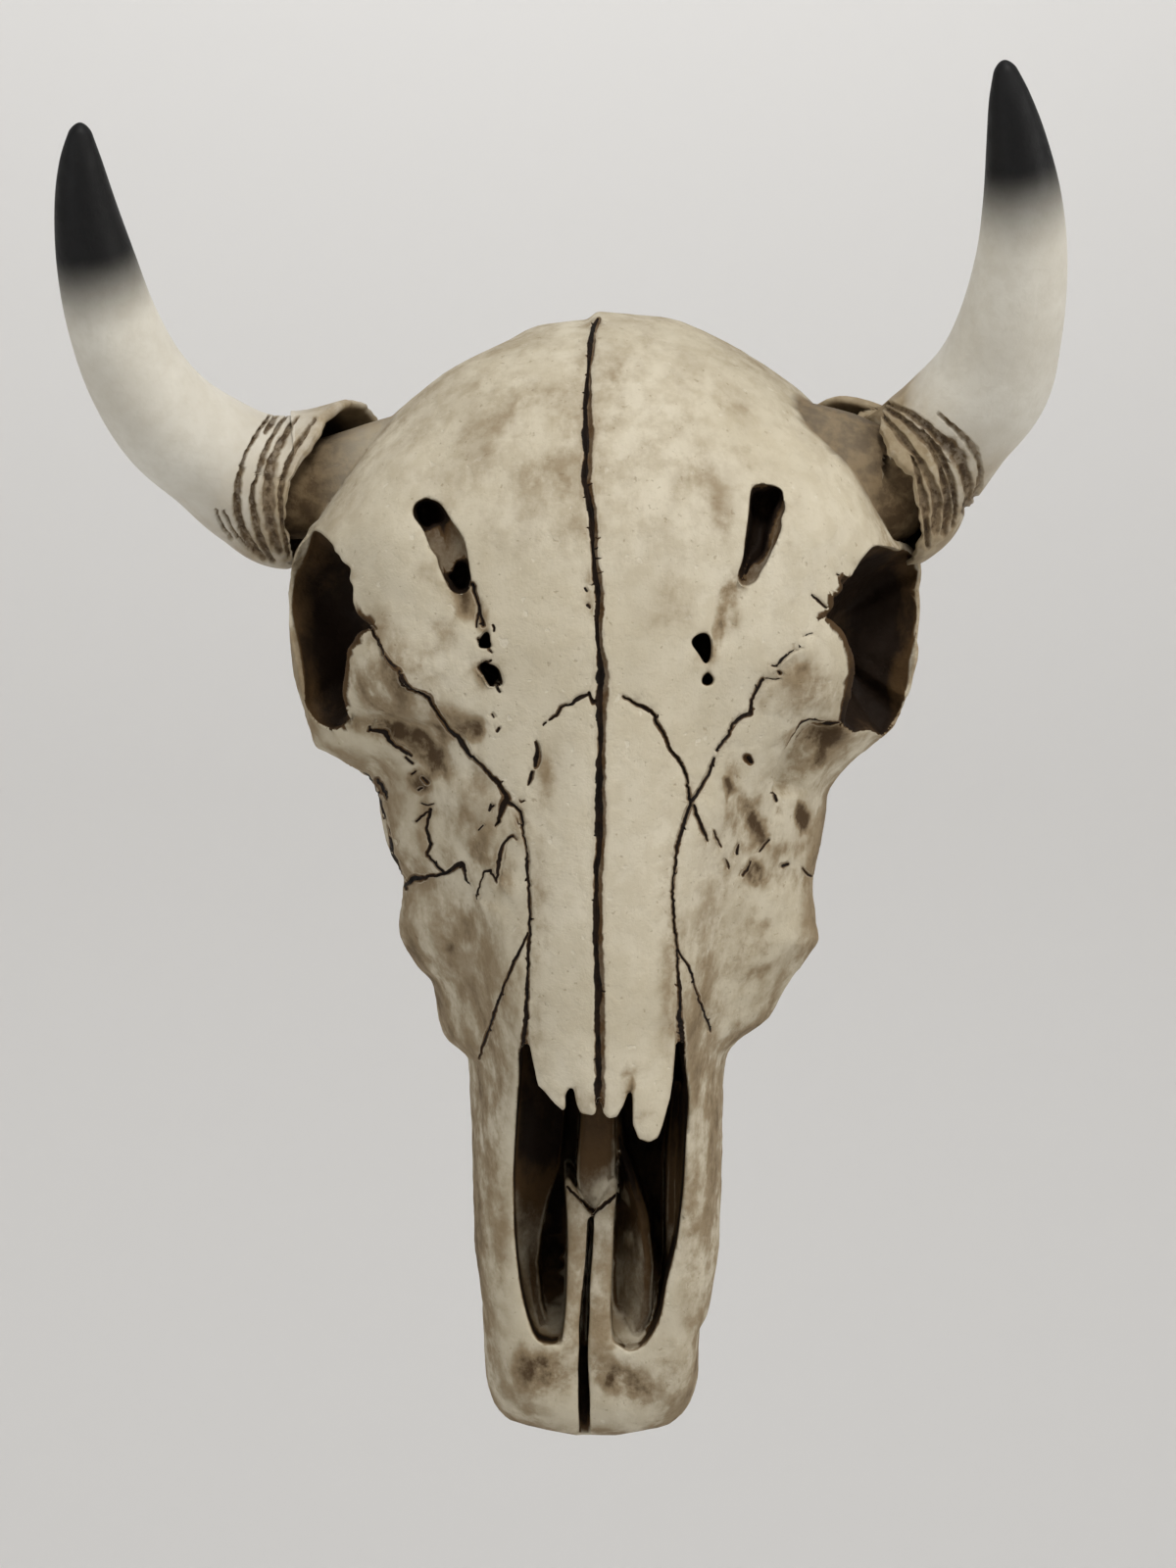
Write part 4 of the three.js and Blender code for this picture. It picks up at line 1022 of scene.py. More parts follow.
def swell(u, v):
    """How far the face is pushed out or in at each place of the photograph, in millimetres."""
    push = np.zeros(len(u))
    for centre, half, turn, amount in SWELLINGS:
        push += amount * np.exp(-in_ellipse(u, v, centre, half, turn))
    for line, drop, reach in LEDGES:
        best, side, run, total = np.full(len(u), 1e9), np.zeros(len(u)), np.zeros(len(u)), 0.0
        for (au, av), (bu, bv) in zip(line, line[1:]):
            du, dv = bu - au, bv - av
            long = math.hypot(du, dv)
            t = np.clip(((u - au) * du + (v - av) * dv) / long ** 2, 0, 1)
            away = np.hypot(u - au - t * du, v - av - t * dv)
            nearer = away < best
            best = np.where(nearer, away, best)
            side = np.where(nearer, (du * (v - av) - dv * (u - au)) / long, side)
            run = np.where(nearer, total + t * long, run)
            total += long
        ends = smooth_step(0, 14, run) * smooth_step(0, 14, total - run)
        push -= drop * ends * smooth_step(-1.5, 2.5, side) * (1 - smooth_step(0.15 * reach, reach, best))
    return push


LOWEST_Z = -220
# Parts of the nose that count as face: the nasal plate's heights, and the box of the middle bar
PLATE_HEIGHTS = (-126, -98)
BAR_HEIGHTS = (-164, -142)
BAR_MIDDLE = -1.5
BAR_HALF_WIDTH = 9.5
BAR_FRONT = 41
LUMPS = [(8.6, 0.26), (3.3, 0.13), (1.5, 0.06)]
LUMP_CORNER = (-150, -130, -235)
LUMP_REACH = (300, 145, 345)


def lumps(points, size, seed):
    """Seeded soft bumps of a size in millimetres, from -1 to 1."""
    cells = (points - LUMP_CORNER) / size
    corner = np.floor(cells).astype(int)
    t = cells - corner
    t = t * t * (3 - 2 * t)
    lattice = np.random.default_rng(seed).uniform(-1, 1, [int(reach / size) + 2 for reach in LUMP_REACH])
    total = np.zeros(len(points))
    for step in np.ndindex(2, 2, 2):
        share = np.where(step, t, 1 - t).prod(1)
        total += share * lattice[tuple((corner + step).T)]
    return total


def roughness(points):
    """How lumpy the bone is: little on the brow and nasal bones, more on the cheeks and sides."""
    cheek = smooth_step(20, 42, np.abs(points[:, 0])) * smooth_step(36, -14, points[:, 2])
    return 0.5 + 1.1 * cheek


def arrays_of(mesh):
    """A mesh's points and their normals."""
    points = np.empty(len(mesh.vertices) * 3, np.float32)
    mesh.vertices.foreach_get("co", points)
    normals = np.empty(len(mesh.vertices) * 3, np.float32)
    mesh.vertex_normals.foreach_get("vector", normals)
    return points.reshape(-1, 3).astype(float), normals.reshape(-1, 3).astype(float)


def on_face(points, normals, push):
    """One where a point is on the outer skin of the face and looks forward, down to none."""
    proud = -points[:, 1] - skin_depth(points[:, 0], points[:, 2]) - push
    x, y, z = points.T
    plate = (z > PLATE_HEIGHTS[0]) & (z < PLATE_HEIGHTS[1]) & (proud > -1.5)
    bar = (z > BAR_HEIGHTS[0]) & (z < BAR_HEIGHTS[1]) & (y < -BAR_FRONT)
    bar &= np.abs(x - BAR_MIDDLE) < BAR_HALF_WIDTH
    level = np.where(plate | bar, 1.0, 1 - smooth_step(3, 4.8, np.abs(proud)))
    return level * smooth_step(-0.05, 0.15, -normals[:, 1])


def seams_at(points):
    """How near each point is to a suture and to its dark thread: one on it, two thirds at its edge, none far
    away. And the suture's depth."""
    u, v = in_photo(points)
    seam, groove, ink = (np.zeros(len(points)) for _ in range(3))
    for deep, black, line, thread in SEAM_LINES:
        found, away = near_line(u, v, line)
        seam[found] = np.maximum(seam[found], black * np.clip(1 - away / SEAM_REACH, 0, 1))
        groove[found] = np.maximum(groove[found], deep * np.clip(1.2 - away, 0, 1))
        found, away = near_line(u, v, thread)
        ink[found] = np.maximum(ink[found], np.clip(1 - away / SEAM_REACH, 0, 1))
    return seam, groove, ink


def near_edges(points):
    """Where the skin is within a few pixels of the edge of a socket, a slot or a hole."""
    u, v = in_photo(points)
    close = np.zeros(len(points), bool)
    for outline in [ORBITS[side]["opening"] for side in ORBITS] + TROUGHS + DEEP_HOLES:
        ring = np.array([(x, y, 1.0) for x, y in outline + outline[:1]])
        found, away = near_line(u, v, ring)
        close[found] |= away < 3
    return close & (np.abs(-points[:, 1] - skin_depth(points[:, 0], points[:, 2])) < 5)


# Twice as fine along the sutures and edges, before they are carved
FINE_ABOVE = 0.3
points, normals = arrays_of(skull.data)
wanted = ((seams_at(points)[0] > FINE_ABOVE) | near_edges(points)) & (normals[:, 1] < -0.05)
work = bmesh.new()
work.from_mesh(skull.data)
work.verts.ensure_lookup_table()
inside = [f for f in work.faces if all(wanted[v.index] for v in f.verts)]
edges = list({e for f in inside for e in f.edges})
bmesh.ops.subdivide_edges(work, edges=edges, cuts=1, use_grid_fill=True)
work.to_mesh(skull.data)
work.free()

# Smoother edges round the sockets, slots and holes
EDGE_SOFTENING = 6
points, normals = arrays_of(skull.data)
edge_group = skull.vertex_groups.new(name="edges")
edge_group.add(np.flatnonzero(near_edges(points)).tolist(), 1.0, "REPLACE")
smoother = skull.modifiers.new("smoother", "SMOOTH")
smoother.factor = 0.5
smoother.iterations = EDGE_SOFTENING
smoother.vertex_group = "edges"
bpy.ops.object.modifier_apply(modifier="smoother")
skull.vertex_groups.clear()

points, normals = arrays_of(skull.data)
push = swell(*in_photo(points))
face = on_face(points, normals, 0)
seam, groove, ink = seams_at(points)
rough = roughness(points)
relief = sum(high * lumps(points, size, seed) for seed, (size, high) in enumerate(LUMPS))
flat_back = points[:, 1] > -VOXEL_MM * 0.7
points += normals * ((push - groove) * face + relief * rough)[:, None]
points[flat_back, 1] = 0
points[:, 1] = np.minimum(points[:, 1], 0)
points[:, 2] = np.maximum(points[:, 2], LOWEST_Z)
skull.data.vertices.foreach_set("co", points.astype(np.float32).ravel())
skull.data.update()

# Fewer faces where the skin is plain, and all of them kept along the sutures and edges
KEPT_ABOVE = 0.45
plain_group = skull.vertex_groups.new(name="plain")
fine = (seam * face > KEPT_ABOVE) | near_edges(points)
plain_group.add(np.flatnonzero(~fine).tolist(), 1.0, "REPLACE")
thin = skull.modifiers.new("thin", "DECIMATE")
triangles = sum(len(polygon.vertices) - 2 for polygon in skull.data.polygons)
thin.ratio = min(1, SKULL_TRIANGLES / triangles)
thin.vertex_group = "plain"
bpy.ops.object.modifier_apply(modifier="thin")
skull.vertex_groups.clear()
print("skull", triangles, "triangles, thinned to", len(skull.data.polygons), "with", int(fine.sum()), "fine")

# Stains of the brown wash on the face, and painted shade under the sockets and on the nasal bones' sloping
# sides: centre and half sizes in pixels, turn in degrees, and strength
STAINS_AND_SHADE = [
    # the forehead and the sides of the brow
    ((600, 450), (220, 140), 0, 0.26), ((580, 548), (14, 12), 0, 0.3), ((730, 526), (24, 22), 0, 0.3),
    ((690, 602), (26, 50), 20, 0.22), ((452, 524), (26, 60), -30, 0.16), ((604, 330), (12, 8), 0, 0.6),
    ((604, 604), (13, 26), 0, 0.55),
    # round the slots and the holes under them
    ((476, 614), (12, 22), -24, 0.75), ((490, 628), (9, 22), -14, 0.7), ((747, 602), (13, 22), 36, 0.85),
    ((736, 632), (7, 26), 12, 0.8), ((748, 628), (8, 22), 10, 0.45), ((499, 686), (16, 18), 0, 0.4),
    ((721, 668), (12, 20), 0, 0.4),
    # under the eye sockets: brown wash, and painted shade in the hollows under their lower rims
    ((402, 704), (44, 42), 35, 0.62), ((398, 745), (50, 13), 13, 1.1), ((440, 771), (32, 15), 38, 0.9),
    ((372, 738), (22, 9), 8, 0.8), ((483, 745), (14, 15), 0, 1.0), ((462, 740), (34, 18), 35, 0.65),
    ((400, 655), (20, 50), -28, 0.3), ((822, 702), (44, 42), -30, 0.38), ((838, 752), (34, 16), -6, 1.1),
    ((826, 776), (26, 16), -35, 1.0), ((812, 760), (14, 20), 20, 0.8), ((806, 800), (18, 18), 0, 0.45),
    # the cheeks
    ((384, 800), (16, 40), -20, 0.25), ((428, 796), (14, 14), 0, 0.8), ((470, 830), (40, 60), 0, 0.3),
    ((434, 850), (12, 40), 0, 0.45), ((455, 876), (16, 16), 20, 0.6), ((490, 870), (14, 36), 10, 0.55),
    ((440, 902), (44, 12), 0, 0.45), ((743, 802), (6, 11), -14, 1.0), ((748, 786), (8, 16), 0, 0.45),
    ((768, 837), (9, 31), -28, 1.25), ((746, 836), (7, 22), -10, 0.45), ((818, 833), (8, 17), -8, 1.25),
    ((791, 828), (4, 5), 0, 1.0), ((772, 893), (11, 17), -30, 1.15), ((826, 900), (24, 24), 0, 0.4),
    ((790, 850), (60, 60), 0, 0.2),
    # the upper jaws and the borders of the nasal bones, with painted shade on the nasal bones' sloping sides
    ((470, 965), (52, 100), 8, 0.42), ((748, 985), (46, 110), 0, 0.24), ((556, 800), (9, 44), 0, 0.35),
    ((532, 845), (8, 28), 0, 0.6), ((549, 960), (10, 150), 0, 0.4), ((682, 950), (10, 140), 0, 0.42),
    ((525, 1000), (14, 90), 8, 0.4), ((706, 1000), (14, 90), -8, 0.35), ((512, 890), (18, 34), 0, 0.45),
    # the nasal tips and the muzzle
    ((660, 1145), (16, 14), 0, 0.35), ((583, 1122), (8, 16), 0, 0.9), ((642, 1106), (5, 16), 0, 0.9),
    ((600, 1126), (44, 14), 0, 0.25), ((505, 1240), (18, 190), 0, 0.4), ((708, 1240), (18, 190), 0, 0.42),
    ((530, 1430), (40, 40), 0, 0.35), ((690, 1420), (34, 50), 0, 0.32), ((556, 1402), (34, 22), 20, 1.15),
    ((536, 1386), (16, 12), 40, 0.6), ((636, 1410), (38, 17), 27, 1.3), ((620, 1396), (20, 10), 20, 0.7),
    ((590, 1300), (9, 60), 0, 0.3), ((613, 1300), (9, 60), 0, 0.25),
]
CRISP_BELOW = 30


def stain_and_shade(u, v):
    """How strong the brown wash and the painted shade are at each place of the photograph. Small stains have
    crisper edges.
    """
    total = np.zeros(len(u))
    for centre, half, turn, strength in STAINS_AND_SHADE:
        sharp = 2.0 if max(half) < CRISP_BELOW else 1.3
        total = np.maximum(total, strength * np.exp(-in_ellipse(u, v, centre, half, turn) ** sharp))
    return total


def shaped(points, normals, mark, reach=1.0):
    """One where the skin is what the marked tools left, and none elsewhere."""
    share = np.zeros(len(points))
    for surface, box, sense in SHAPED_BY[mark]:
        near = np.flatnonzero(((points > box[:3] - reach) & (points < box[3:] + reach)).all(1))
        for i in near:
            at, normal, _, away = surface.find_nearest(Vector(points[i]), reach)
            if at is not None:
                share[i] = max(share[i], min(1, max(0, 3 * sense * normal.dot(normals[i]))))
    return share


# How dark each mass of the nose is at its upper and its lower end, darker at the top with painted shade
# under the nasal bones, the heights between which that changes, and how far below the skin its paint starts
NOSE_SHADES = {
    "left_scroll": (1.0, 0.4, -132, -168, 2), "right_scroll": (0.98, 0.46, -136, -182, 2),
    "right_wall": (0.9, 0.5, -126, -152, 2), "left_foot": (0.95, 0.3, -168, -193, 2),
    "right_foot": (0.85, 0.26, -168, -193, 2), "vomer": (0.66, 0.34, -124, -152, 2),
    "prong": (0.08, 0.08, -150, -190, -1.5)}
# How dark each kind of cut is, as dark paint with painted shade that deepens below the skin, and the depths
# below the skin between which its paint sets in
HOLLOW_SHADES = {"nose": (0.92, 0.4, 5), "trough": (0.42, 0.3, 1.6), "hole": (1, 0.3, 2.5)}
# How brown each core is near the head, and the distances from the middle between which it turns wholly so
CORE_BROWN = {"left": (0.45, 58, 76), "right": (0.85, 64, 80)}


def paint_skull(points, normals):
    """The paint on every point: seam and its ink, brown wash with painted shade, the hollows' dark paint
    with painted shade, and horn core.
    """
    u, v = in_photo(points)
    push = swell(u, v)
    face = on_face(points, normals, push)
    forward = -normals[:, 1]
    seam, _, ink = seams_at(points)
    wide = np.abs(points[:, 0])
    # the stains and the painted shade, and a little wash in the skin's own hollows
    low = smooth_step(0.05, 0.5, -0.6 * lumps(points, LUMPS[0][0], 0) - 0.5 * lumps(points, LUMPS[1][0], 1))
    wash = stain_and_shade(u, v) * face + 0.2 * roughness(points) * low
    # more on the flanks that turn away, above all low on the head, as brown wash with painted shade; brown
    # wash on the prongs; and brown wash with painted shade on the outer sides beside the sockets
    flank_wash_and_shade = smooth_step(0.9, 0.3, forward) * smooth_step(-0.9, -0.5, forward) * (
        0.4 + 0.6 * smooth_step(-0.3, 0.15, forward))
    wash = np.maximum(wash, flank_wash_and_shade * (0.26 + 0.34 * smooth_step(-10, -60, points[:, 2])))
    wash = np.maximum(wash, 0.42 * shaped(points, normals, "prong"))
    wash = np.maximum(wash, 0.42 * smooth_step(70, 75, wide) * smooth_step(46, 34, np.abs(points[:, 2])))
    # the hollows and the masses in the nose, by how far below the skin they lie: dark paint with painted
    # shade that deepens with depth
    below = skin_depth(points[:, 0], points[:, 2]) + points[:, 1] + push
    dark = np.zeros(len(points))
    for mark, (shade, start, full) in HOLLOW_SHADES.items():
        dark = np.maximum(dark, shade * shaped(points, normals, mark) * smooth_step(start, full, below))
    for mark, (upper, lower, top, bottom, top_edge) in NOSE_SHADES.items():
        mass = shaped(points, normals, mark) * smooth_step(top_edge, top_edge + 2, below)
        shade = upper + (lower - upper) * smooth_step(top, bottom, points[:, 2])
        # a painted highlight where the masses' rounded edges turn partly away from the front
        shade = shade - 0.26 * smooth_step(0.2, 0.4, forward) * smooth_step(0.78, 0.6, forward)
        dark = dark * (1 - mass) + np.maximum(shade, 0) * mass
    # the sockets: dark paint with painted shade that deepens by how far behind the plane of the rim they
    # lie, a little lighter low down near the rim
    for side in ORBITS:
        nx, nd = ORBITS[side]["outward"]
        cx, cd, cz = ORBITS[side]["centre"]
        behind = (np.array([cx, -cd, cz]) - points) @ np.array([nx, -nd, 0])
        cut = shaped(points, normals, "socket") ** 3 * (points[:, 0] * nx > 0)
        depth = 0.72 * smooth_step(-1.2, 0.4, behind) + 0.28 * smooth_step(1, 8, behind)
        brown = 0.12 * smooth_step(-2, -20, points[:, 2]) * smooth_step(14, 4, behind)
        dark = np.maximum(dark, cut * (depth - brown))
    core = shaped(points, normals, "core")
    for side, (light, near, far) in CORE_BROWN.items():
        here = (points[:, 0] > 0) == (side == "right")
        core = np.where(here, core * (light + (1 - light) * smooth_step(near, far, wide)), core)
    return {"seam": seam * face, "ink": ink * face, "wash": wash, "dark": dark, "core": core}


points, normals = arrays_of(skull.data)
for name, values in paint_skull(points, normals).items():
    layer = skull.data.attributes.new(name, "FLOAT", "POINT")
    layer.data.foreach_set("value", values.astype(np.float32))

skull.data.transform(TO_METRES)
skull.data.shade_smooth()


class Wire:
    """An output of a shader node. Sums and products of it add Math nodes beside it."""

    def __init__(self, tree, socket=None):
        self.tree, self.socket = tree, socket

    def node(self, kind, settings=(), inputs=(), out=0):
        made = self.tree.nodes.new(kind)
        for name, value in dict(settings).items():
            if name == "stops":
                for stop, (place, colour) in zip(made.color_ramp.elements, value):
                    stop.position, stop.color = place, colour
            else:
                setattr(made, name, value)
        for name, value in dict(inputs).items():
            if isinstance(value, Wire):
                self.tree.links.new(value.socket, made.inputs[name])
            else:
                made.inputs[name].default_value = value
        return Wire(self.tree, made.outputs[out])

    def maths(self, operation, first, second):
        return self.node("ShaderNodeMath", {"operation": operation}, {0: first, 1: second})

    def __add__(self, other): return self.maths("ADD", self, other)
    def __radd__(self, other): return self.maths("ADD", other, self)
    def __sub__(self, other): return self.maths("SUBTRACT", self, other)
    def __rsub__(self, other): return self.maths("SUBTRACT", other, self)
    def __mul__(self, other): return self.maths("MULTIPLY", self, other)
    def __rmul__(self, other): return self.maths("MULTIPLY", other, self)
    def __pow__(self, other): return self.maths("POWER", self, other)

    def between(self, low, high):
        """Nought below low and one above high, with a smooth rise."""
        return self.node("ShaderNodeMapRange", {"interpolation_type": "SMOOTHSTEP"},
                         {"Value": self, "From Min": low, "From Max": high})

    def blend(self, low, high):
        """The colour low where this is nought and high where it is one."""
        return self.node("ShaderNodeMix", {"data_type": "RGBA", "clamp_factor": True},
                         {0: self, 6: low, 7: high}, out=2)

    def noise(self, place, scale, detail=3.0, roughness=0.55, stretch=None):
        if stretch:
            place = self.node("ShaderNodeMapping", {}, {"Vector": place, "Scale": stretch})
        return self.node("ShaderNodeTexNoise", {},
                         {"Vector": place, "Scale": scale, "Detail": detail, "Roughness": roughness})

    def attribute(self, name):
        return self.node("ShaderNodeAttribute", {"attribute_name": name}, out=2)


def tint(red, green, blue):
    """A colour given as a picture's 0 to 255 values."""
    linear = [((c / 255 + 0.055) / 1.055) ** 2.4 if c > 10 else c / 255 / 12.92 for c in (red, green, blue)]
    return (*linear, 1.0)


def new_finish(name):
    finish = bpy.data.materials.new(name)
    finish.use_nodes = True
    tree = finish.node_tree
    shader = tree.nodes["Principled BSDF"]
    place = Wire(tree).node("ShaderNodeTexCoord", out=3)
    return finish, Wire(tree), shader, place


def bone_finish():
    finish, wire, shader, place = new_finish("bone_cream")
    seam, ink, wash, dark, core = (wire.attribute(name) for name in ("seam", "ink", "wash", "dark", "core"))
    clouds = wire.noise(place, 26, 4).between(0.35, 0.65)
    patches = wire.noise(place, 75, 5, 0.62, (1, 1, 0.5)).between(0.36, 0.64)
    mottle = wire.noise(place, 190, 4, 0.62).between(0.36, 0.66)
    specks = wire.noise(place, 560, 2, 0.5).between(0.66, 0.76)
    nicks = wire.noise(place, 300, 2, 0.45).between(0.7, 0.74)
    grain = wire.noise(place, 1500, 2, 0.6)
    ragged = wire.noise(place, 900, 3, 0.6) - 0.5
    cream = clouds.blend(tint(201, 191, 168), tint(213, 204, 183))
    cream = (patches * 0.3).blend(cream, tint(190, 181, 160))
    cream = (mottle * 0.32).blend(cream, tint(186, 174, 147))
    cream = (specks * 0.4).blend(cream, tint(140, 122, 94))
    cream = (nicks * 0.35).blend(cream, tint(226, 219, 202))
    # the wash attribute holds the brown wash together with painted shade on turned-away flanks, under the
    # sockets and on the nasal bones' sloping sides
    level = wash * (0.3 + patches * 0.9 + mottle * 0.4) + ragged * wash * 0.4
    washed = (level.between(0.02, 0.62) * 0.86).blend(cream, tint(138, 118, 88))
    washed = (level.between(0.5, 1.25) * 0.9).blend(washed, tint(68, 49, 29))
    cored = core.blend(washed, mottle.blend(tint(84, 67, 46), tint(126, 107, 80)))
    # the dark attribute: dark paint in the hollows with painted shade deepening inside them and under the
    # nasal bones, lifted on the nose masses' steep edges as a painted highlight
    deep = dark + dark * (patches - 0.5) * 0.34 + ragged * 0.12
    shaded = deep.between(0.06, 0.5).blend(cored, tint(84, 63, 38))
    hidden = deep.between(0.5, 0.98).blend(shaded, tint(30, 19, 9))
    edge = seam + ragged * 0.15
    halo = (edge.between(0.3, 0.58) * (0.1 + patches * 0.28)).blend(hidden, tint(128, 108, 80))
    beside = edge.between(0.42, 0.5) * (1 - edge.between(0.56, 0.62))
    worn = (beside * mottle * 0.3).blend(halo, tint(222, 214, 196))
    banded = (edge.between(0.58, 0.7) * (0.75 + mottle * 0.25)).blend(worn, tint(94, 70, 44))
    black = mottle.blend(tint(20, 13, 8), tint(40, 28, 19))
    inked = (ink + ragged * 0.12).between(0.56, 0.7).blend(banded, black)
    wire.tree.links.new(inked.socket, shader.inputs["Base Color"])
    rough = 0.66 + mottle * 0.12 + wash * 0.06
    wire.tree.links.new(rough.socket, shader.inputs["Roughness"])
    height = grain * 0.35 + mottle * 0.6 - specks * 0.4 + patches * 0.5 - nicks * 0.4
    bump = wire.node("ShaderNodeBump", {}, {"Strength": 0.45, "Distance": 0.0005, "Height": height})
    wire.tree.links.new(bump.socket, shader.inputs["Normal"])
    shader.inputs["Specular IOR Level"].default_value = 0.16
    return finish


skull.data.materials.clear()
skull.data.materials.append(bone_finish())
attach(skull, "root")
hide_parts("skull")


# Horn sheaths
# Two hollow resin sheaths, slipped over the bony cores: a thick ragged lip, a band of brown grooves round
# the base, then a smooth taper to a black tip.
# The lip of each sheath: [degrees round the horn, millimetres from the sheath's inner knot]
LIPS = {
    "left": [(25, -11), (38, -8), (53, -5.4), (61, -2.8), (70, 1.2), (82, 6.8), (87, 11), (103, 11.4),
             (129, 10.2), (164, 8.8), (184, 8.6), (225, 3), (250, -5), (280, -13), (310, -16.8),
             (344, -15.4)],
    "right": [(0, 2.4), (12, 2.8), (30, 4.6), (48, 6.6), (72, 10.2), (88, 12.6), (99, 12.6), (120, 13),
              (150, 16.5), (172, 20), (183, 20), (189, 8), (195, -6), (203, -15), (216, -18), (246, -16),
              (268, -11), (290, -7), (325, -3), (345, 0.6)],
}
# Grooves, drawn over the photograph's frame: blackness, and a line of places and half widths in pixels
HORN_GROOVES = {
    "left": [
        (1, [(321, 427, 2), (314, 438, 2.5), (307, 448, 3), (299, 461, 2.5), (294, 473, 3), (290, 484, 3),
             (287, 496, 3), (286, 510, 3.5), (287, 525, 3), (289, 540, 3), (292, 555, 2.5), (295, 568, 2)]),
        (1, [(304, 425, 1.5), (297, 434, 3), (289, 448, 4), (283, 459, 4), (278, 470, 5), (275, 482, 6),
             (274, 495, 6), (274, 508, 7), (274, 522, 7), (276, 536, 7), (280, 550, 6), (286, 563, 4)]),
        (1, [(293, 424, 1.5), (284, 434, 2.5), (277, 447, 2), (271, 460, 3), (267, 472, 3), (263, 485, 2),
             (258, 497, 3), (257, 508, 3), (259, 522, 3.5), (261, 535, 4), (265, 550, 4), (271, 562, 4),
             (279, 573, 3)]),
        (1, [(276, 423, 1.5), (268, 433, 2), (261, 445, 2), (254, 457, 2), (249, 468, 2), (246, 480, 3),
             (243, 492, 4), (242, 505, 4), (242, 518, 4.5), (244, 530, 5), (248, 542, 5), (254, 553, 4.5),
             (262, 563, 4), (270, 571, 3)]),
        (0.95, [(283, 424, 2), (277, 432, 4), (271, 441, 3)]),
        (0.85, [(228, 522, 1.5), (233, 532, 2), (239, 543, 2), (246, 553, 2), (254, 561, 1.5)]),
        (0.85, [(220, 520, 1.5), (223, 530, 2), (229, 541, 2), (236, 550, 2)]),
    ],
    "right": [
        (1, [(930, 466, 1.5), (935, 478, 2.5), (938, 490, 3), (941, 503, 4), (944, 516, 4), (945, 530, 3.5),
             (946, 545, 3), (947, 558, 2)]),
        (1, [(899, 422, 2), (906, 431, 3), (914, 440, 4), (922, 449, 4), (931, 460, 3), (938, 470, 3.5),
             (944, 481, 4), (950, 492, 4), (955, 504, 4.5), (957, 517, 5), (956, 530, 4.5),
             (955, 543, 3.5)]),
        (1, [(897, 414, 1.5), (906, 418, 2), (916, 424, 3), (926, 432, 3.5), (936, 441, 3.5), (944, 450, 3),
             (951, 460, 2.5), (957, 472, 2), (961, 483, 2.5), (964, 495, 4), (967, 507, 4), (967, 520, 4),
             (966, 533, 4), (963, 545, 3)]),
        (1, [(941, 440, 2), (948, 449, 3), (955, 458, 4), (961, 468, 4), (966, 478, 3.5), (970, 488, 3.5),
             (973, 500, 3), (975, 512, 2.5), (975, 525, 2), (972, 538, 1.5)]),
        (1, [(903, 411, 1.5), (915, 415, 2.5), (927, 421, 3.5), (938, 429, 4), (949, 438, 5), (960, 448, 6),
             (970, 457, 7), (978, 468, 7), (983, 479, 6), (987, 490, 5), (989, 501, 5), (988, 512, 4.5),
             (984, 523, 3.5)]),
        (0.7, [(960, 466, 1), (964, 467, 1.4), (968, 471, 1)]),
        (0.85, [(958, 423, 2), (968, 432, 2.5), (978, 441, 3), (987, 450, 4), (994, 460, 4), (999, 470, 3),
                (1001, 480, 2.5), (1000, 490, 3), (998, 500, 2.5), (994, 510, 2)]),
    ],
}
GROOVE_DEEP = 1.1
GROOVE_WIDTH = {"left": 0.8, "right": 1.0}
BASE_WASH = {"left": 0.6, "right": 0.95}
SHEATH_SIDES = 220
BAND_END = 40
BAND_RINGS = 170
PLAIN_RINGS = 90
HOLLOW_RINGS = 26
LIP_WALL = 2.3
GLUE_GAP = 0.4
HOLLOW_END_RADIUS = 12.9
TIP_ROUND = 2.6
TIP_CROWDING = 1.6
SOOT_FROM = {"left": (80, 101), "right": (84, 106)}


def round_horn(knots):
    """A smooth closed line round the horn through [degrees, distance] knots."""
    return along([(degrees + 360 * k, s) for k in (-1, 0, 1) for degrees, s in knots])


def grooved(points, side):
    """How near each point is to a groove: one on its middle, two thirds at its edge. And its depth."""
    u, v = in_photo(points)
    trough, groove = np.zeros(len(points)), np.zeros(len(points))
    for black, line in HORN_GROOVES[side]:
        found, away = near_line(u, v, worn_line(line, width=GROOVE_WIDTH[side]))
        trough[found] = np.maximum(trough[found], black * np.clip(1 - away / SEAM_REACH, 0, 1))
        groove[found] = np.maximum(groove[found], black * (1 - smooth_step(0.6, 1.25, away)))
    return trough, groove


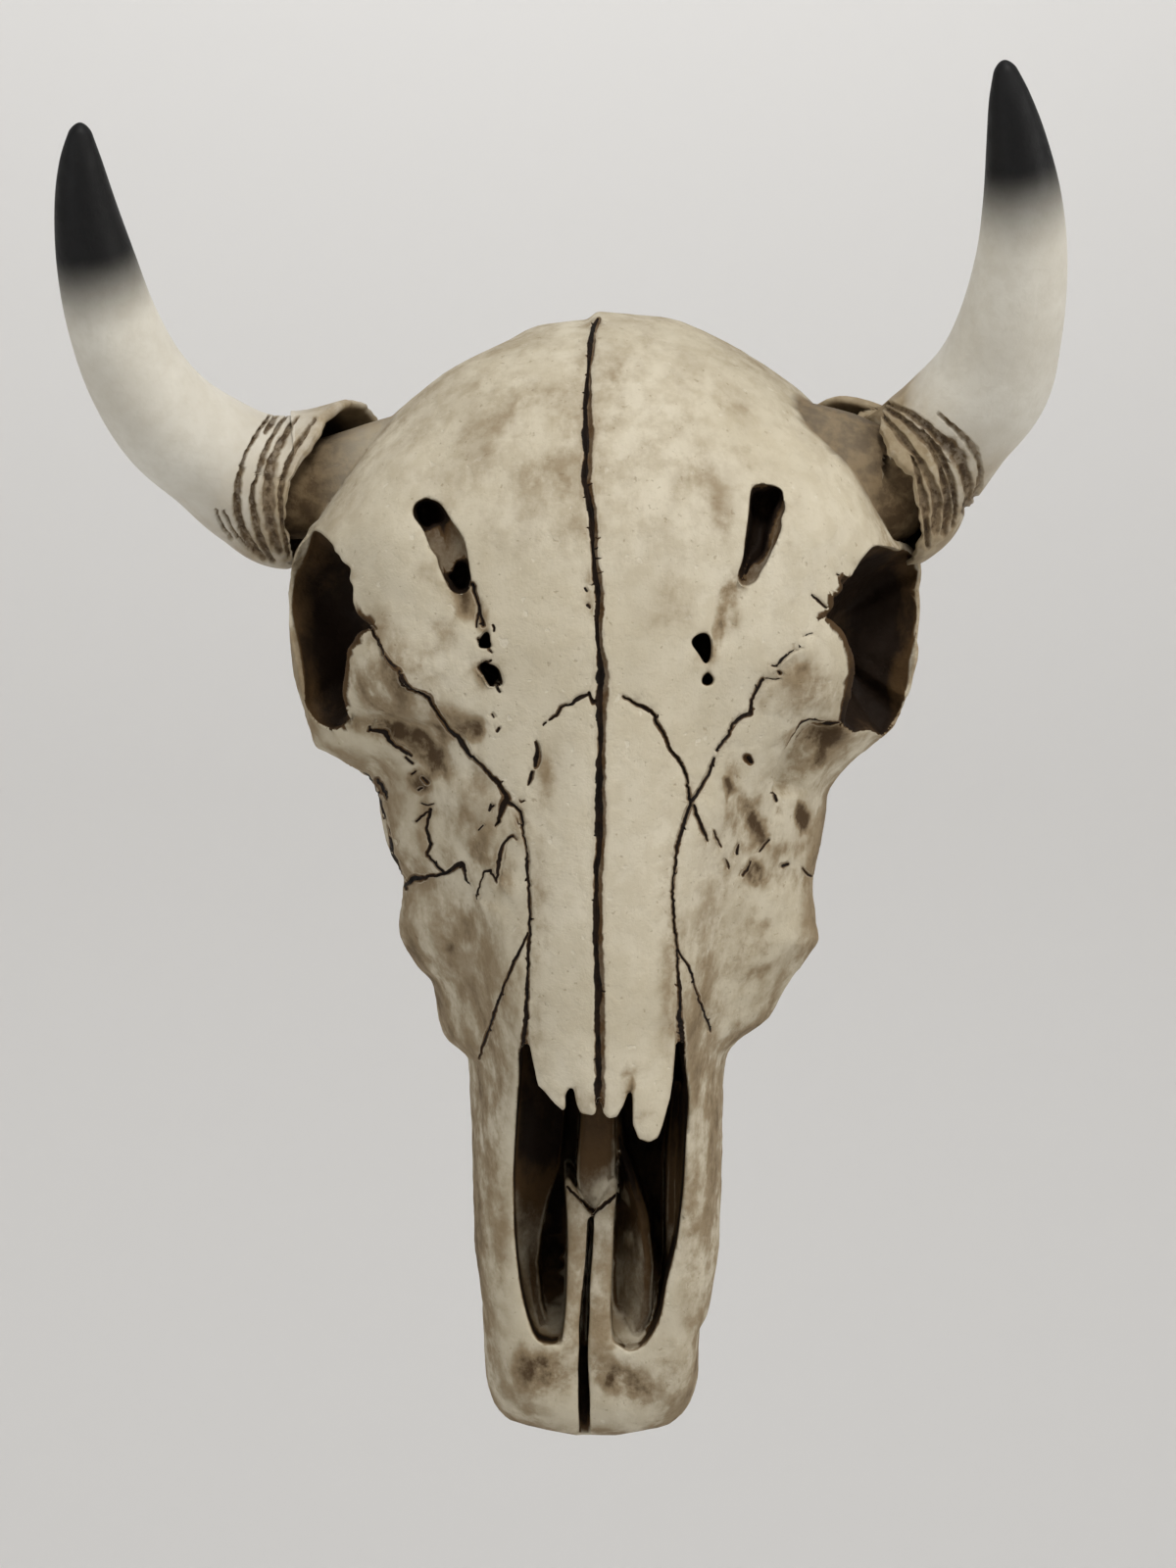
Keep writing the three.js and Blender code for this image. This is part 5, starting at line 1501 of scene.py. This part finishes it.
def sheath(side):
    """A horn sheath's mesh, and for each point how deep inside it lies, its groove, and how far it is along
    the horn and beyond the lip."""
    frames, radius, reach = horn_path(side)
    degrees = np.linspace(0, 360, SHEATH_SIDES, endpoint=False)
    rad = np.radians(degrees)
    lip = round_horn(LIPS[side])(degrees)
    lip += 0.24 * np.sin(9 * rad + 1) + 0.2 * np.sin(17 * rad + 2.2) + 0.16 * np.sin(31 * rad)

    def place(s, turns, r):
        middle, across, front = frames(s)
        return middle + r[..., None] * (across * np.cos(turns)[..., None] + front * np.sin(turns)[..., None])

    share = np.linspace(0, 1, BAND_RINGS)[:, None]
    band = lip[None] + share * (BAND_END - lip[None])
    closer = 1 - np.linspace(1, 0, PLAIN_RINGS)[1:, None] ** TIP_CROWDING
    plain = BAND_END + (reach - BAND_END) * closer + 0 * lip[None]
    s = np.concatenate([band, plain])
    turns = np.repeat(rad[None], len(s), 0)
    tip = np.sqrt(np.maximum(1e-4, 1 - np.clip((s - (reach - TIP_ROUND)) / TIP_ROUND, 0, 1) ** 2))
    swelling = 0.35 * np.sin(3 * turns + s * 0.05) * smooth_step(60, 10, s)
    swelling *= smooth_step(reach, reach - 20, s)
    outer = radius(np.maximum(s, 0)) * tip + swelling + 0.4 * smooth_step(34, 14, s)
    outer -= 0.9 * smooth_step(1.6, 0, s - lip[None]) ** 2
    seen = np.where(turns > math.pi, 2 * math.pi - turns, turns)
    trough, groove = grooved(place(s, seen, outer).reshape(-1, 3), side)
    skin = place(s, turns, outer - GROOVE_DEEP * groove.reshape(s.shape))

    inner_s = lip[None] + np.linspace(0, 1, HOLLOW_RINGS)[:, None] * (CORE_LENGTH + GLUE_GAP - lip[None])
    wall = LIP_WALL * (0.6 + 0.4 * smooth_step(0, 1.5, inner_s - lip[None]))
    closing = smooth_step(6, CORE_LENGTH, inner_s)
    inner = (radius(np.maximum(inner_s, 0)) - wall) * (1 - closing) + HOLLOW_END_RADIUS * closing
    hollow = place(inner_s, np.repeat(rad[None], len(inner_s), 0), inner)

    made = skin_mesh("horn_sheath_" + side, np.concatenate([hollow[::-1], skin]))
    behind_lip = inner_s - lip[None]
    # how far into the sheath's hollow each point lies: the finish gives it a brown lining and, deeper in,
    # painted shade
    inside = smooth_step(0, 1.2, behind_lip) * (0.35 + 0.65 * smooth_step(1, 12, behind_lip))
    inside = np.concatenate([inside[::-1].ravel(), np.zeros(s.size)])
    trough = np.concatenate([np.zeros(inner_s.size), trough])
    length = np.concatenate([inner_s[::-1].ravel(), s.ravel()])
    beyond = np.concatenate([0 * inner_s.ravel(), (s - lip[None]).ravel()])
    return made, inside, trough, length, beyond


def horn_finish():
    finish, wire, shader, place = new_finish("horn_cream")
    trough, hollow, soot, base = (wire.attribute(name) for name in ("trough", "hollow", "soot", "base"))
    clouds = wire.noise(place, 40, 4).between(0.35, 0.65)
    mottle = wire.noise(place, 260, 4, 0.6).between(0.35, 0.7)
    flecks = wire.noise(place, 420, 3, 0.6).between(0.4, 0.62)
    ragged = wire.noise(place, 700, 3, 0.6) - 0.5
    patches = wire.noise(place, 90, 5, 0.6).between(0.38, 0.62)
    cream = clouds.blend(tint(219, 214, 201), tint(229, 225, 213))
    cream = (mottle * 0.3).blend(cream, tint(204, 197, 180))
    dusty = mottle.blend(tint(150, 132, 103), tint(174, 158, 130))
    cream = (base * (0.45 + patches * 0.35)).blend(cream, dusty)
    edge = trough + ragged * 0.18
    soft = (edge.between(0.36, 0.6) * (0.3 + flecks * 0.4)).blend(cream, tint(150, 134, 108))
    brown = mottle.blend(tint(86, 67, 44), tint(122, 102, 74))
    banded = (edge.between(0.56, 0.74) * (0.7 + flecks * 0.3)).blend(soft, brown)
    banded = (edge.between(0.72, 0.95) * flecks * 0.8).blend(banded, tint(58, 43, 26))
    # the hollow: a brown lining near the lip, with painted shade that darkens it deeper in
    lined = hollow.between(0.02, 0.4).blend(banded, mottle.blend(tint(104, 88, 66), tint(124, 108, 84)))
    lined = hollow.between(0.6, 1).blend(lined, tint(44, 32, 20))
    smoky = soot.blend(lined, tint(8, 8, 9))
    wire.tree.links.new(smoky.socket, shader.inputs["Base Color"])
    rough = 0.5 + mottle * 0.1 + soot * 0.04 + trough * 0.12
    wire.tree.links.new(rough.socket, shader.inputs["Roughness"])
    height = wire.noise(place, 900, 2, 0.6) * 0.5 + mottle * 0.4 + patches * 0.3
    bump = wire.node("ShaderNodeBump", {}, {"Strength": 0.3, "Distance": 0.0004, "Height": height})
    wire.tree.links.new(bump.socket, shader.inputs["Normal"])
    shader.inputs["Specular IOR Level"].default_value = 0.28
    return finish


horn_cream = horn_finish()
for side in ("left", "right"):
    horn, inside, trough, length, beyond = sheath(side)
    soot = smooth_step(*SOOT_FROM[side], length)
    base = BASE_WASH[side] * (smooth_step(46, 20, length) + smooth_step(16, 3, beyond))
    for name, values in (("hollow", inside), ("trough", trough), ("soot", soot), ("base", base)):
        layer = horn.data.attributes.new(name, "FLOAT", "POINT")
        full = np.concatenate([values, values[:1], values[-1:]])
        layer.data.foreach_set("value", full.astype(np.float32))
    horn.data.transform(TO_METRES)
    horn.data.shade_smooth()
    horn.data.materials.append(horn_cream)
    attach(horn, "root")
    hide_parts("horn_" + side)
